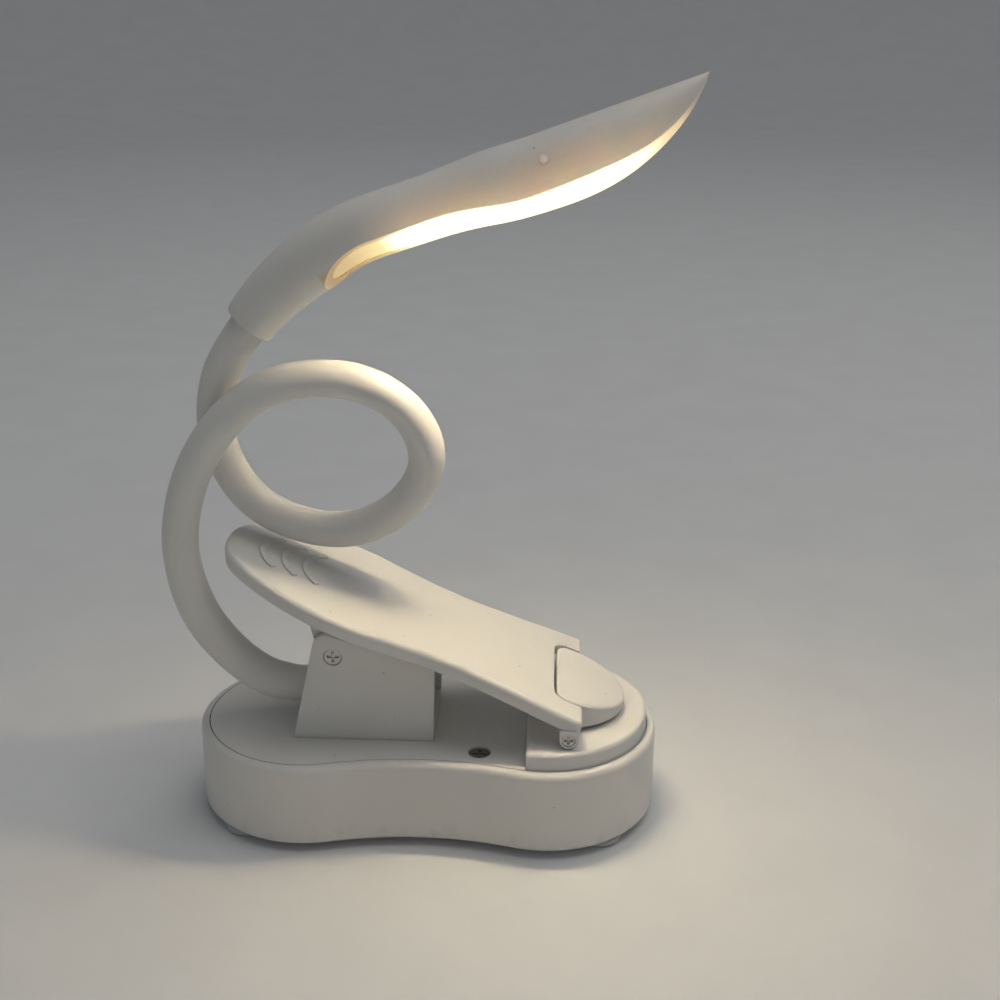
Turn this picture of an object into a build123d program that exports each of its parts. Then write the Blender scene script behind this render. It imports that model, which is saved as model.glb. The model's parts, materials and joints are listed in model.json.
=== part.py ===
"""Clip-on reading lamp: a clip base, a looped bendable neck and a quill-shaped lit head.

Millimetres, +Z up. The origin is on the floor under the middle of the base, +X runs towards
the jaw and +Y towards the side with the charging socket.
"""
from build123d import *
from math import cos, pi, radians, sin, sqrt, tan
import os

# Base plan: two round lobes joined by a waist
LOBE_RADIUS = 27.0
LOBE_OFFSET = 29.0
WAIST_HALF = 23.0
FOOT_HEIGHT = 2.0
HOUSING_HEIGHT = 20.7
FLOOR_THICK = 2.0
RIM_WIDTH = 2.0
LEDGE_WIDTH = 1.0
RIM_ROUND = 1.6
BOTTOM_ROUND = 1.2
COVER_THICK = 2.0
COVER_GAP = 0.2
SEAT_GAP = 0.1

# Feet and screws
FOOT_RADIUS = 4.5
FOOT_SINK = 0.6
FOOT_RING = 20.2
FOOT_ANGLE = 50.0
COVER_SCREW_X = 13.6
COVER_SCREW_Y = 16.9
COVER_SCREW_HEAD_RADIUS = 2.5
COVER_SCREW_HEAD_DEEP = 1.0
COVER_SCREW_RADIUS = 1.2
COVER_SCREW_LENGTH = 8.0
BOSS_WALL = 1.6
BRACKET_SCREW_X = -5.0
BRACKET_SCREW_Y = 6.0
BRACKET_SCREW_RADIUS = 1.1
BRACKET_SCREW_LENGTH = 4.0
BRACKET_SCREW_HEAD_RADIUS = 2.2
BRACKET_SCREW_HEAD = 1.4
SLOT_WIDTH = 0.6
SLOT_DEPTH = 0.3
SLOT_SHARE = 0.68

# Electrics in the base
CELL_RADIUS = 7.0
CELL_LENGTH = 48.0
CELL_NUB_RADIUS = 2.8
CELL_NUB_LENGTH = 1.2
CELL_X = -18.0
CELL_Y = -10.0
BOARD_X = (-22.0, 10.0)
BOARD_Y = (-2.0, 18.0)
BOARD_THICK = 1.6
BOARD_LIFT = 4.0
POST_RADIUS = 1.8
POST_INSET = 2.5
INLET_WIDTH = 9.0
INLET_HEIGHT = 3.2
INLET_DEPTH = 6.4
INLET_SET_BACK = 0.4
INLET_SHELL = 0.5
INLET_TONGUE = 0.7
INLET_TONGUE_INSET = 1.5

# Clip bracket with two cheeks
CHEEK_HALF_WIDTH = 12.5
CHEEK_THICK = 1.6
BRACKET_FLOOR = 1.5
BRACKET_LEFT = -31.4
BRACKET_RIGHT = 2.3
CHEEK_TOP_LEFT = (-25.3, 28.4)
CHEEK_TOP_RIGHT = (2.7, 19.6)
PIVOT_X = -21.3
PIVOT_HEIGHT = 21.9
PIN_RADIUS = 1.5
PIN_HEAD_RADIUS = 2.1
PIN_HEAD_DEEP = 0.8
PIN_HEAD_THICK = 0.55
RUNNING_GAP = 0.05

# Lever: a straight plate that bows down a little towards the thumb end
LEVER_SLOPE = 23.5
LEVER_JAW_X = 38.0
LEVER_JAW_Z = 33.7
LEVER_BEND_X = -22.0
LEVER_THUMB_X = -47.5
THUMB_CURL = -3.0
LEVER_PLATE = 2.0
LEVER_SKIRT = 3.6
LEVER_WALL = 1.6
LEVER_ROUND = 1.2
LEVER_JAW_HALF = 22.0
LEVER_JAW_CORNER = 2.0
LEVER_JAW_FLARE = 0.09
LEVER_WAIST_X = 0.0
LEVER_WAIST_INSET = 3.0
LEVER_HIP_X = -20.0
LEVER_HIP_INSET = 0.2
THUMB_SIDE_X = -34.0
THUMB_SIDE_INSET = 3.8
THUMB_SIDE_FACING = 60.0
THUMB_CORNER_X = -42.7
THUMB_CORNER_INSET = 9.6
THUMB_CORNER_FACING = 37.0
LUG_THICK = 2.2
LUG_GAP = 0.4
LUG_RADIUS = 4.4
LUG_REACH = 9.0
RIDGE_COUNT = 3
RIDGE_PITCH = 5.0
RIDGE_FIRST = 8.0
RIDGE_RADIUS = 11.0
RIDGE_WIDTH = 1.3
RIDGE_PROUD = 0.35
RIDGE_HALF_ANGLE = 50.0

# Jaw: fixed platform on the cover and the swivelling shoe
PLATFORM_X = 24.7
PLATFORM_INSET = 0.2
PLATFORM_HEIGHT = 4.2
PLATFORM_ROUND = 0.9
SHOE_GAP = 0.3
SHOE_PIN_X = 34.5
SHOE_PIN_HEIGHT = 2.2
SHOE_PIN_RADIUS = 1.0
SHOE_RADIUS = 13.6
SHOE_BACK = 3.1
SHOE_CORNER = 3.0
SHOE_TIP_THICK = 3.0
SHOE_TOP_SLOPE = 20.5
SHOE_TOP_ROUND = 0.7
SHOE_PAD_THICK = 1.0
SHOE_PAD_INSET = 1.2
NOTCH_GAP = 0.5
JAW_BOSS_RADIUS = 2.1
JAW_BOSS_WIDTH = 4.0
JAW_SCREW_HEAD_RADIUS = 1.5
JAW_SCREW_HEAD_DEEP = 0.6
JAW_SCREW_HEAD_THICK = 0.4

# Torsion spring on the pivot
WIRE_RADIUS = 0.5
COIL_RADIUS = 2.9
COIL_PITCH = 1.6
COIL_TURNS = 5
LEG_DOWN_ANGLE = 25.0
LEG_DOWN_LENGTH = 8.0
LEG_UP_ANGLE = 63.0
LEG_GAP = 0.3

# Neck
NECK_RADIUS = 4.3
SLEEVE_WALL = 1.4
CORE_GAP = 0.1
CORE_WALL = 1.0
LEAD_RADIUS = 1.2
NECK_HEIGHT = 30.6
SOCKET_WIDTH = 15.0
SOCKET_X = (-28.0, -19.0)
NECK_FIT = 0.05
NECK_STOP = 1.0
LEAD_DROP_X = -13.0
LEAD_DROP_BEND = 3.6
ARC_SHARE = 0.45
NECK_ROUTE = [
    (-38.0, 0.0, NECK_HEIGHT), (-48.5, 0.0, 41.5), (-57.5, -1.5, 56.0), (-58.5, -3.0, 71.5),
    (-53.5, -4.5, 89.0), (-43.5, -5.5, 103.0), (-31.0, -5.5, 110.5), (-14.0, -4.0, 110.5),
    (-1.5, -2.0, 101.0), (1.5, 0.0, 87.5), (-8.0, 2.0, 74.5), (-23.0, 4.0, 69.0),
    (-41.0, 5.5, 74.5), (-49.5, 5.5, 88.5), (-49.5, 3.5, 102.5),
]
LOW_BEND_COUNT = 3
HIGH_BEND_COUNT = 2
BEND_RADIUS = 6.0
BEND_GAP = 0.3

# Head shell: a straight collar, an elbow and a blade with a straight back
MOUTH = (-39.2, 121.7)
MOUTH_HEADING = 50.0
MOUTH_RADIUS = 6.0
COLLAR_LENGTH = 8.0
COLLAR_WALL = 1.1
COLLAR_SWELL = 0.5
NECK_APPROACH = 8.0
NECK_INSERT = 7.0
ELBOW_STATIONS = [(-26.9, 134.3, 41.0, 7.15), (-19.3, 139.4, 28.0, 7.6)]
BLADE_TIP = (60.3, 177.5)
BLADE_HEADING = 20.1
BLADE_RADIUS = 8.75
BLADE_SECTIONS = [
    (80.0, 7.8), (60.0, 8.3), (42.0, BLADE_RADIUS), (30.0, BLADE_RADIUS), (22.0, 7.7), (15.5, 6.25),
    (10.0, 4.7), (5.0, 2.85), (0.0, 0.4),
]
HEAD_WALL = 1.3
HEAD_ROLL = 28.0
CUT_DEPTH = 13.7
CUT_LENGTH = 41.0
CUT_NOSE = [(8.5, 10.0), (19.0, 13.7)]
CUT_THROAT = 11.3
CUT_THROAT_FROM_TIP = (66.0, 80.0)
CUT_HEEL = 17.0
CUT_HEEL_FROM_TIP = 94.0
DIFFUSER_RECESS = 0.4
DIFFUSER_THICK = 1.2
DIFFUSER_FIT = 0.1
LED_BOARD_FROM_TIP = (20.0, 74.0)
LED_BOARD_LIFT = 1.0
LED_BOARD_HALF = 4.8
LED_BOARD_THICK = 1.0
LED_COUNT = 9
LED_LENGTH = 3.5
LED_WIDTH = 2.8
LED_THICK = 0.7
LEAD_RISE = 2.2
LEAD_GAP = 0.3
BUSH_LENGTH = 6.0
BUSH_FIT = 0.05
DOT_FROM_TIP = 38.0
DOT_ANGLE = 61.6
DOT_RADIUS = 1.1
DOT_FIT = 0.05
DOT_PROUD = 0.2

HOUSING_TOP = FOOT_HEIGHT + HOUSING_HEIGHT
FLOOR_TOP = FOOT_HEIGHT + FLOOR_THICK
COVER_UNDER = HOUSING_TOP - COVER_THICK
PLATFORM_TOP = HOUSING_TOP + PLATFORM_HEIGHT
PLATFORM_RADIUS = LOBE_RADIUS - RIM_WIDTH - COVER_GAP - PLATFORM_INSET
PIVOT = Vector(PIVOT_X, 0, HOUSING_TOP + PIVOT_HEIGHT)
SHOE_UNDER = PLATFORM_TOP + SHOE_GAP
SHOE_PIN = Vector(SHOE_PIN_X, 0, SHOE_UNDER + SHOE_PIN_HEIGHT)
LUG_FACE = CHEEK_HALF_WIDTH - CHEEK_THICK - LUG_GAP
CORE_RADIUS = NECK_RADIUS - SLEEVE_WALL - CORE_GAP


def save(node, shape):
    """Write one named piece."""
    export_step(shape, f"parts/{node}.step")


def prism(face_or_sketch, low, high):
    """Raise a flat outline drawn on XY from one height to another."""
    return Pos(0, 0, low) * extrude(face_or_sketch, high - low)


def along_y(x, z, radius, low, high):
    """Round bar along Y between two Y positions."""
    return Pos(x, low, z) * Rot(-90, 0, 0) * Cylinder(
        radius, high - low, align=(Align.CENTER, Align.CENTER, Align.MIN))


def upright(x, y, radius, low, high):
    """Round bar along Z between two heights."""
    return Pos(x, y, low) * Cylinder(radius, high - low, align=(Align.CENTER, Align.CENTER, Align.MIN))


def slab(x, y, z):
    """Box from three (low, high) pairs."""
    size = [pair[1] - pair[0] for pair in (x, y, z)]
    return Pos(x[0], y[0], z[0]) * Box(*size, align=(Align.MIN, Align.MIN, Align.MIN))


def side_face(edges):
    """Face in the XZ plane from edges drawn with (x, z) as local (x, y)."""
    return Plane.XZ * make_face(Curve() + edges)


def side_plate(edges, half_width):
    """Plate of an XZ outline, centred on the XZ plane."""
    return extrude(side_face(edges), half_width, both=True)


def peanut(inset):
    """Plan of the base, drawn in by an inset: round lobes and tangent waist arcs."""
    waist_radius = (LOBE_OFFSET**2 + WAIST_HALF**2 - LOBE_RADIUS**2) / (2 * (LOBE_RADIUS - WAIST_HALF))
    share = (LOBE_RADIUS - inset) / (LOBE_RADIUS + waist_radius)
    meet_x = LOBE_OFFSET * (1 - share)
    meet_y = share * (WAIST_HALF + waist_radius)
    tip = LOBE_OFFSET + LOBE_RADIUS - inset
    waist = WAIST_HALF - inset
    return make_face(Curve() + [
        ThreePointArc((meet_x, -meet_y), (tip, 0), (meet_x, meet_y)),
        ThreePointArc((meet_x, meet_y), (0, waist), (-meet_x, meet_y)),
        ThreePointArc((-meet_x, meet_y), (-tip, 0), (-meet_x, -meet_y)),
        ThreePointArc((-meet_x, -meet_y), (0, -waist), (meet_x, -meet_y)),
    ])


def foot_places():
    """Centres of the four feet, on a ring round each lobe."""
    reach = LOBE_OFFSET + FOOT_RING * cos(radians(FOOT_ANGLE))
    side = FOOT_RING * sin(radians(FOOT_ANGLE))
    return [(sx * reach, sy * side) for sx in (-1, 1) for sy in (-1, 1)]


def post_places():
    """Corners of the control board where its posts stand."""
    xs = (BOARD_X[0] + POST_INSET, BOARD_X[1] - POST_INSET)
    ys = (BOARD_Y[0] + POST_INSET, BOARD_Y[1] - POST_INSET)
    return [(x, y) for x in xs for y in ys]


def inlet_box(grow):
    """Envelope of the charging inlet in the far wall, with a growth on its cross-section."""
    low = FLOOR_TOP + BOARD_LIFT + BOARD_THICK
    mouth = WAIST_HALF - INLET_SET_BACK
    half = INLET_WIDTH / 2 + grow
    return (-half, half), (mouth - INLET_DEPTH, mouth), (low - grow, low + INLET_HEIGHT + grow)


def base_housing():
    """Tub with a rounded rim, a ledge for the cover, screw bosses, board posts and an inlet slot."""
    tub = prism(peanut(0), FOOT_HEIGHT, HOUSING_TOP)
    outer = tub.edges().group_by(Axis.Z)
    tub = fillet(outer[-1], RIM_ROUND)
    tub = fillet(tub.edges().group_by(Axis.Z)[0], BOTTOM_ROUND)
    tub -= prism(peanut(RIM_WIDTH), COVER_UNDER, HOUSING_TOP)
    tub -= prism(peanut(RIM_WIDTH + LEDGE_WIDTH), FLOOR_TOP, COVER_UNDER)
    for side in (-1, 1):
        boss = upright(COVER_SCREW_X, side * COVER_SCREW_Y, COVER_SCREW_RADIUS + BOSS_WALL,
                       FLOOR_TOP, COVER_UNDER)
        tub += boss
        tub -= upright(COVER_SCREW_X, side * COVER_SCREW_Y, COVER_SCREW_RADIUS,
                       COVER_UNDER - COVER_SCREW_LENGTH, COVER_UNDER)
    for x, y in post_places():
        tub += upright(x, y, POST_RADIUS, FLOOR_TOP, FLOOR_TOP + BOARD_LIFT)
    for x, y in foot_places():
        tub -= upright(x, y, FOOT_RADIUS + SEAT_GAP, FOOT_HEIGHT, FOOT_HEIGHT + FOOT_SINK)
    x, y, z = inlet_box(SEAT_GAP)
    return tub - slab(x, (y[0], WAIST_HALF + RIM_WIDTH), z)


def top_cover():
    """Flush inset lid with two recessed screw holes and a passage for the lead."""
    lid = prism(peanut(RIM_WIDTH + COVER_GAP), COVER_UNDER, HOUSING_TOP)
    for side in (-1, 1):
        place = (COVER_SCREW_X, side * COVER_SCREW_Y)
        lid -= upright(*place, COVER_SCREW_HEAD_RADIUS + COVER_GAP,
                       HOUSING_TOP - COVER_SCREW_HEAD_DEEP, HOUSING_TOP)
        lid -= upright(*place, COVER_SCREW_RADIUS + SEAT_GAP, COVER_UNDER, HOUSING_TOP)
    for side in (-1, 1):
        place = (BRACKET_SCREW_X, side * BRACKET_SCREW_Y)
        lid += upright(*place, BRACKET_SCREW_RADIUS + BOSS_WALL,
                       HOUSING_TOP - BRACKET_SCREW_LENGTH, COVER_UNDER)
        lid -= upright(*place, BRACKET_SCREW_RADIUS,
                       HOUSING_TOP - BRACKET_SCREW_LENGTH, HOUSING_TOP)
    return lid - upright(LEAD_DROP_X, 0, LEAD_RADIUS + COVER_GAP, COVER_UNDER, HOUSING_TOP)


def rubber_feet():
    """Four round feet set into the housing's underside."""
    return Compound([
        Solid(upright(x, y, FOOT_RADIUS, 0, FOOT_HEIGHT + FOOT_SINK).wrapped) for x, y in foot_places()])


def cross_slots(head_radius, top):
    """Crossed driver slots sunk into a round head from its upper face."""
    arm, half = SLOT_SHARE * head_radius, SLOT_WIDTH / 2
    deep = (top - SLOT_DEPTH, top)
    return slab((-arm, arm), (-half, half), deep) + slab((-half, half), (-arm, arm), deep)


def screw(radius, length, head_radius, head_height, top):
    """Flat-headed screw along Z with its head's upper face at a height."""
    shank = upright(0, 0, radius, top - head_height - length, top - head_height)
    return shank + upright(0, 0, head_radius, top - head_height, top) - cross_slots(head_radius, top)


def headed_pin(place, radius, reach, head_radius, head_height):
    """Pin along Y with a slotted head on each end, beyond its reach from the middle."""
    pin = along_y(place.X, place.Z, radius, -reach, reach)
    for turn in (-90, 90):
        pin += Pos(place) * Rot(turn, 0, 0) * (
            upright(0, 0, head_radius, reach, reach + head_height)
            - cross_slots(head_radius, reach + head_height))
    return pin


def screw_pair(x, y, one):
    """Two like screws, one each side of the middle."""
    return Compound([Solid((Pos(x, side * y, 0) * one).solids()[0].wrapped) for side in (-1, 1)])


def cover_screws():
    """Screws that hold the cover, with their heads at the bottom of the recesses."""
    one = screw(COVER_SCREW_RADIUS, COVER_SCREW_LENGTH - COVER_SCREW_HEAD_DEEP,
                COVER_SCREW_HEAD_RADIUS, COVER_SCREW_HEAD_DEEP / 2,
                HOUSING_TOP - COVER_SCREW_HEAD_DEEP / 2)
    return screw_pair(COVER_SCREW_X, COVER_SCREW_Y, one)


def bracket_screws():
    """Screws that hold the bracket's floor to the cover."""
    one = screw(BRACKET_SCREW_RADIUS, BRACKET_SCREW_LENGTH, BRACKET_SCREW_HEAD_RADIUS,
                BRACKET_SCREW_HEAD, HOUSING_TOP + BRACKET_FLOOR + BRACKET_SCREW_HEAD)
    return screw_pair(BRACKET_SCREW_X, BRACKET_SCREW_Y, one)


def battery_cell():
    """Round rechargeable cell lying on the housing's floor, with its raised terminal."""
    middle = FLOOR_TOP + SEAT_GAP + CELL_RADIUS
    can = Pos(CELL_X, CELL_Y, middle) * Rot(0, 90, 0) * Cylinder(CELL_RADIUS, CELL_LENGTH)
    nub = Pos(CELL_X + CELL_LENGTH / 2, CELL_Y, middle) * Rot(0, 90, 0) * Cylinder(
        CELL_NUB_RADIUS, CELL_NUB_LENGTH, align=(Align.CENTER, Align.CENTER, Align.MIN))
    return can + nub


def control_board():
    """Charging and dimming board on its four posts."""
    low = FLOOR_TOP + BOARD_LIFT
    return slab(BOARD_X, BOARD_Y, (low, low + BOARD_THICK))


def charging_inlet():
    """Socket shell with its tongue, standing on the board and open through the far wall."""
    x, y, z = inlet_box(0)
    shell = slab(x, y, z)
    hollow = [(pair[0] + INLET_SHELL, pair[1] - INLET_SHELL) for pair in (x, z)]
    shell -= slab(hollow[0], (y[0] + INLET_SHELL, y[1]), hollow[1])
    middle = (z[0] + z[1]) / 2
    half = INLET_WIDTH / 2 - INLET_TONGUE_INSET
    tongue = slab((-half, half), (y[0], y[1] - INLET_TONGUE_INSET),
                  (middle - INLET_TONGUE / 2, middle + INLET_TONGUE / 2))
    return shell + tongue


def clip_bracket():
    """Floor plate and two trapezoid cheeks that carry the pivot."""
    top = [(x, HOUSING_TOP + z) for x, z in (CHEEK_TOP_RIGHT, CHEEK_TOP_LEFT)]
    outline = Polyline((BRACKET_LEFT, HOUSING_TOP), (BRACKET_RIGHT, HOUSING_TOP), *top, close=True)
    body = side_plate(outline.edges(), CHEEK_HALF_WIDTH)
    inner = CHEEK_HALF_WIDTH - CHEEK_THICK
    far = LOBE_OFFSET + LOBE_RADIUS
    body -= slab((-far, far), (-inner, inner), (HOUSING_TOP + BRACKET_FLOOR, 3 * PIVOT.Z))
    upper = [edge for edge in body.edges().filter_by(Axis.Y) if edge.center().Z > PIVOT.Z - PIVOT_HEIGHT / 2]
    body = fillet([edge for edge in upper if edge.center().X < PIVOT_X], 2 * CHEEK_THICK)
    body -= along_y(PIVOT_X, PIVOT.Z, PIN_RADIUS + RUNNING_GAP, -CHEEK_HALF_WIDTH, CHEEK_HALF_WIDTH)
    for side in (-1, 1):
        edge = side * CHEEK_HALF_WIDTH
        deep = side * (CHEEK_HALF_WIDTH - PIN_HEAD_DEEP)
        body -= along_y(PIVOT_X, PIVOT.Z, PIN_HEAD_RADIUS + SEAT_GAP, min(edge, deep), max(edge, deep))
    for side in (-1, 1):
        body -= upright(BRACKET_SCREW_X, side * BRACKET_SCREW_Y, BRACKET_SCREW_RADIUS + SEAT_GAP,
                        HOUSING_TOP, HOUSING_TOP + BRACKET_FLOOR)
    return body - upright(LEAD_DROP_X, 0, LEAD_RADIUS + COVER_GAP, HOUSING_TOP, HOUSING_TOP + BRACKET_FLOOR)


def pivot_pin():
    """Pin through cheeks and lugs, with a shallow screw head sunk in each cheek."""
    reach = CHEEK_HALF_WIDTH - PIN_HEAD_DEEP
    return headed_pin(PIVOT, PIN_RADIUS, reach, PIN_HEAD_RADIUS, PIN_HEAD_THICK)


def lever_line(drop):
    """Upper line of the lever from the jaw to the thumb tip, lowered square to itself by a drop."""
    slope = radians(LEVER_SLOPE)
    normal = Vector(sin(slope), cos(slope))
    jaw = Vector(LEVER_JAW_X, LEVER_JAW_Z) - normal * drop
    run = (LEVER_JAW_X - LEVER_BEND_X) / cos(slope)
    bend = jaw + Vector(-cos(slope), sin(slope)) * run
    end_slope = slope + radians(THUMB_CURL)
    radius = (LEVER_BEND_X - LEVER_THUMB_X) / (sin(end_slope) - sin(slope)) + drop
    middle = bend + normal * radius
    tip = middle - Vector(sin(end_slope), cos(end_slope)) * radius
    half = slope + radians(THUMB_CURL) / 2
    halfway = middle - Vector(sin(half), cos(half)) * radius
    return jaw, bend, halfway, tip


def lever_band(upper, lower, half_width):
    """Slice of the lever between two drops from its upper line."""
    jaw, bend, halfway, tip = lever_line(upper)
    jaw_low, bend_low, halfway_low, tip_low = lever_line(lower)
    edges = [Line(jaw, bend), ThreePointArc(bend, halfway, tip), Line(tip, tip_low),
             ThreePointArc(tip_low, halfway_low, bend_low), Line(bend_low, jaw_low), Line(jaw_low, jaw)]
    return side_plate(edges, half_width)


def lever_plan(inset):
    """Plan of the lever: waisted sides, round jaw corners and a blunt round thumb end."""
    half = LEVER_JAW_HALF - inset
    jaw = (LEVER_JAW_X - inset, half)
    waist = (LEVER_WAIST_X, half - LEVER_WAIST_INSET)
    hip = (LEVER_HIP_X, half - LEVER_HIP_INSET)
    turn = radians(THUMB_SIDE_FACING)
    side = (THUMB_SIDE_X + inset * cos(turn), LEVER_JAW_HALF - THUMB_SIDE_INSET - inset * sin(turn))
    turn = radians(THUMB_CORNER_FACING)
    corner = (THUMB_CORNER_X + inset * cos(turn), LEVER_JAW_HALF - THUMB_CORNER_INSET - inset * sin(turn))
    tip = (LEVER_THUMB_X + inset, 0)
    near = Spline(jaw, waist, hip, side, corner, tip, tangents=[(-1, -LEVER_JAW_FLARE), (0, -1)])
    far = mirror(near, Plane.XZ)
    plan = make_face(Curve() + [near, far, Line(jaw, (jaw[0], -jaw[1]))])
    return fillet(plan.vertices().sort_by(Axis.X)[-2:], LEVER_JAW_CORNER)


def lever_lug(side):
    """Ear under the lever that turns on the pivot pin between the cheeks."""
    slope = radians(LEVER_SLOPE)
    bend = lever_line(LEVER_PLATE / 2)[1]
    along = Vector(cos(slope), -sin(slope))
    foot = bend + along * ((PIVOT_X - bend.X) / cos(slope))
    high, low = foot - along * LUG_REACH, foot + along * LUG_REACH
    pivot = Vector(PIVOT_X, PIVOT.Z)
    left = pivot - along * LUG_RADIUS
    right = pivot + along * LUG_RADIUS
    under = pivot - Vector(sin(slope), cos(slope)) * LUG_RADIUS
    edges = [Line(high, left), ThreePointArc(left, under, right), Line(right, low), Line(low, high)]
    ear = extrude(side_face(edges), LUG_THICK / 2, both=True)
    return Pos(0, side * (LUG_FACE - LUG_THICK / 2), 0) * ear


def notch_plan(gap):
    """Plan of the shoe's tongue: square back with round corners and a half-round nose."""
    back = SHOE_PIN_X - SHOE_BACK - gap
    half = SHOE_RADIUS + gap
    tip = SHOE_PIN_X + half
    corner = SHOE_CORNER + gap
    slant = corner * (1 - sqrt(0.5))
    return make_face(Curve() + [
        Line((back, -half + corner), (back, half - corner)),
        ThreePointArc((back, half - corner), (back + slant, half - slant), (back + corner, half)),
        Line((back + corner, half), (SHOE_PIN_X, half)),
        ThreePointArc((SHOE_PIN_X, half), (tip, 0), (SHOE_PIN_X, -half)),
        Line((SHOE_PIN_X, -half), (back + corner, -half)),
        ThreePointArc((back + corner, -half), (back + slant, -half + slant), (back, -half + corner)),
    ])


def clip_lever():
    """Skirted plate with thumb ridges, pivot lugs, a notch for the shoe and its two pin bosses."""
    high = lever_line(0)[3].Y + LEVER_SKIRT
    half = LEVER_JAW_HALF + LEVER_WALL
    body = lever_band(0, LEVER_SKIRT, half) & prism(lever_plan(0), 0, high)
    upper = [face for face in body.faces() if face.normal_at().Z > cos(radians(2 * LEVER_SLOPE))]
    rim = [edge for face in upper for edge in face.edges() if abs(edge.center().X - LEVER_BEND_X) > SEAT_GAP]
    body = fillet(rim, LEVER_ROUND)
    pocket = lever_band(LEVER_PLATE, 2 * LEVER_SKIRT, half) & prism(lever_plan(LEVER_WALL), 0, high)
    body -= pocket
    for side in (-1, 1):
        body += lever_lug(side)
        outer = side * LEVER_JAW_HALF
        inner = side * (LEVER_JAW_HALF - JAW_BOSS_WIDTH)
        low, up = min(outer, inner), max(outer, inner)
        boss = along_y(SHOE_PIN.X, SHOE_PIN.Z, JAW_BOSS_RADIUS, low, up)
        lift = lever_line(LEVER_PLATE)[0].Y - SHOE_PIN.Z
        boss += slab((SHOE_PIN.X - JAW_BOSS_RADIUS, SHOE_PIN.X + JAW_BOSS_RADIUS), (low, up),
                     (SHOE_PIN.Z, SHOE_PIN.Z + lift))
        body += boss
    body -= prism(notch_plan(NOTCH_GAP), 0, high)
    nose = SHOE_PIN_X + SHOE_RADIUS + LEVER_JAW_X
    body -= slab((SHOE_PIN_X, nose), (-SHOE_RADIUS - NOTCH_GAP, SHOE_RADIUS + NOTCH_GAP), (0, high))
    reach = LEVER_JAW_HALF + LEVER_WALL
    body -= along_y(PIVOT_X, PIVOT.Z, PIN_RADIUS + RUNNING_GAP, -reach, reach)
    body -= along_y(SHOE_PIN.X, SHOE_PIN.Z, SHOE_PIN_RADIUS + RUNNING_GAP, -reach, reach)
    for side in (-1, 1):
        outer = side * reach
        deep = side * (LEVER_JAW_HALF - JAW_SCREW_HEAD_DEEP)
        body -= along_y(SHOE_PIN.X, SHOE_PIN.Z, JAW_SCREW_HEAD_RADIUS + SEAT_GAP,
                        min(outer, deep), max(outer, deep))
    return body + thumb_ridges(high)


def thumb_ridges(high):
    """Shallow crescent ridges that stand proud of the thumb end."""
    skin = lever_band(-RIDGE_PROUD, LEVER_PLATE / 2, LEVER_JAW_HALF)
    ridges = None
    for index in range(RIDGE_COUNT):
        start = LEVER_THUMB_X + RIDGE_FIRST + index * RIDGE_PITCH
        outer, inner = RIDGE_RADIUS, RIDGE_RADIUS - RIDGE_WIDTH
        ring = Circle(outer) - Circle(inner)
        reach = 2 * outer
        rise = reach * tan(radians(RIDGE_HALF_ANGLE))
        wedge = make_face(Polyline((0, 0), (-reach, rise), (-reach, -rise), close=True))
        arc = Pos(start + outer, 0) * (ring & wedge)
        ridge = prism(arc, 0, high + LEVER_SKIRT) & skin
        ridges = ridge if ridges is None else ridges + ridge
    return ridges


def jaw_platform():
    """Fixed lower jaw: a D-shaped block on the cover with a rounded upper edge."""
    disc = Pos(LOBE_OFFSET, 0) * Circle(PLATFORM_RADIUS)
    wide = LOBE_OFFSET + LOBE_RADIUS
    cut = Pos(PLATFORM_X, 0) * Rectangle(wide, 2 * wide, align=(Align.MIN, Align.CENTER))
    block = prism(disc & cut, HOUSING_TOP, PLATFORM_TOP)
    return fillet(block.edges().group_by(Axis.Z)[-1], PLATFORM_ROUND)


def jaw_shoe():
    """Wedge-topped tongue that swivels on the jaw pin."""
    high = LEVER_JAW_Z + LEVER_SKIRT
    body = prism(notch_plan(0), SHOE_UNDER + SHOE_PAD_THICK, 2 * high)
    tip = SHOE_PIN_X + SHOE_RADIUS
    low = SHOE_UNDER + SHOE_TIP_THICK
    back = SHOE_PIN_X - SHOE_RADIUS
    rise = (tip - back) * tan(radians(SHOE_TOP_SLOPE))
    above = Polyline((tip, low), (back, low + rise), (back, 3 * high), (tip, 3 * high), close=True)
    body -= side_plate(above.edges(), 2 * SHOE_RADIUS)
    body = fillet(body.faces().sort_by(Axis.Z)[-1].edges(), SHOE_TOP_ROUND)
    reach = 2 * SHOE_RADIUS
    return body - along_y(SHOE_PIN.X, SHOE_PIN.Z, SHOE_PIN_RADIUS + RUNNING_GAP, -reach, reach)


def jaw_pad():
    """Soft sole bonded under the shoe, drawn in a little all round."""
    return prism(notch_plan(-SHOE_PAD_INSET), SHOE_UNDER, SHOE_UNDER + SHOE_PAD_THICK)


def jaw_pin():
    """Pin of the shoe with a small screw head sunk in each boss."""
    reach = LEVER_JAW_HALF - JAW_SCREW_HEAD_DEEP
    return headed_pin(SHOE_PIN, SHOE_PIN_RADIUS, reach, JAW_SCREW_HEAD_RADIUS, JAW_SCREW_HEAD_THICK)


def biarc(start, start_dir, end, end_dir):
    """Two tangent arcs that join two points along given unit directions."""
    span = end - start
    both = start_dir + end_dir
    bend = 2 * (1 - start_dir.dot(end_dir))
    reach = (sqrt(span.dot(both) ** 2 + bend * span.dot(span)) - span.dot(both)) / bend
    middle = (start + end + (start_dir - end_dir) * reach) * 0.5
    middle_dir = ((end - end_dir * reach) - (start + start_dir * reach)).normalized()
    return [TangentArc(start, middle, tangent=start_dir), TangentArc(middle, end, tangent=middle_dir)]


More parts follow.
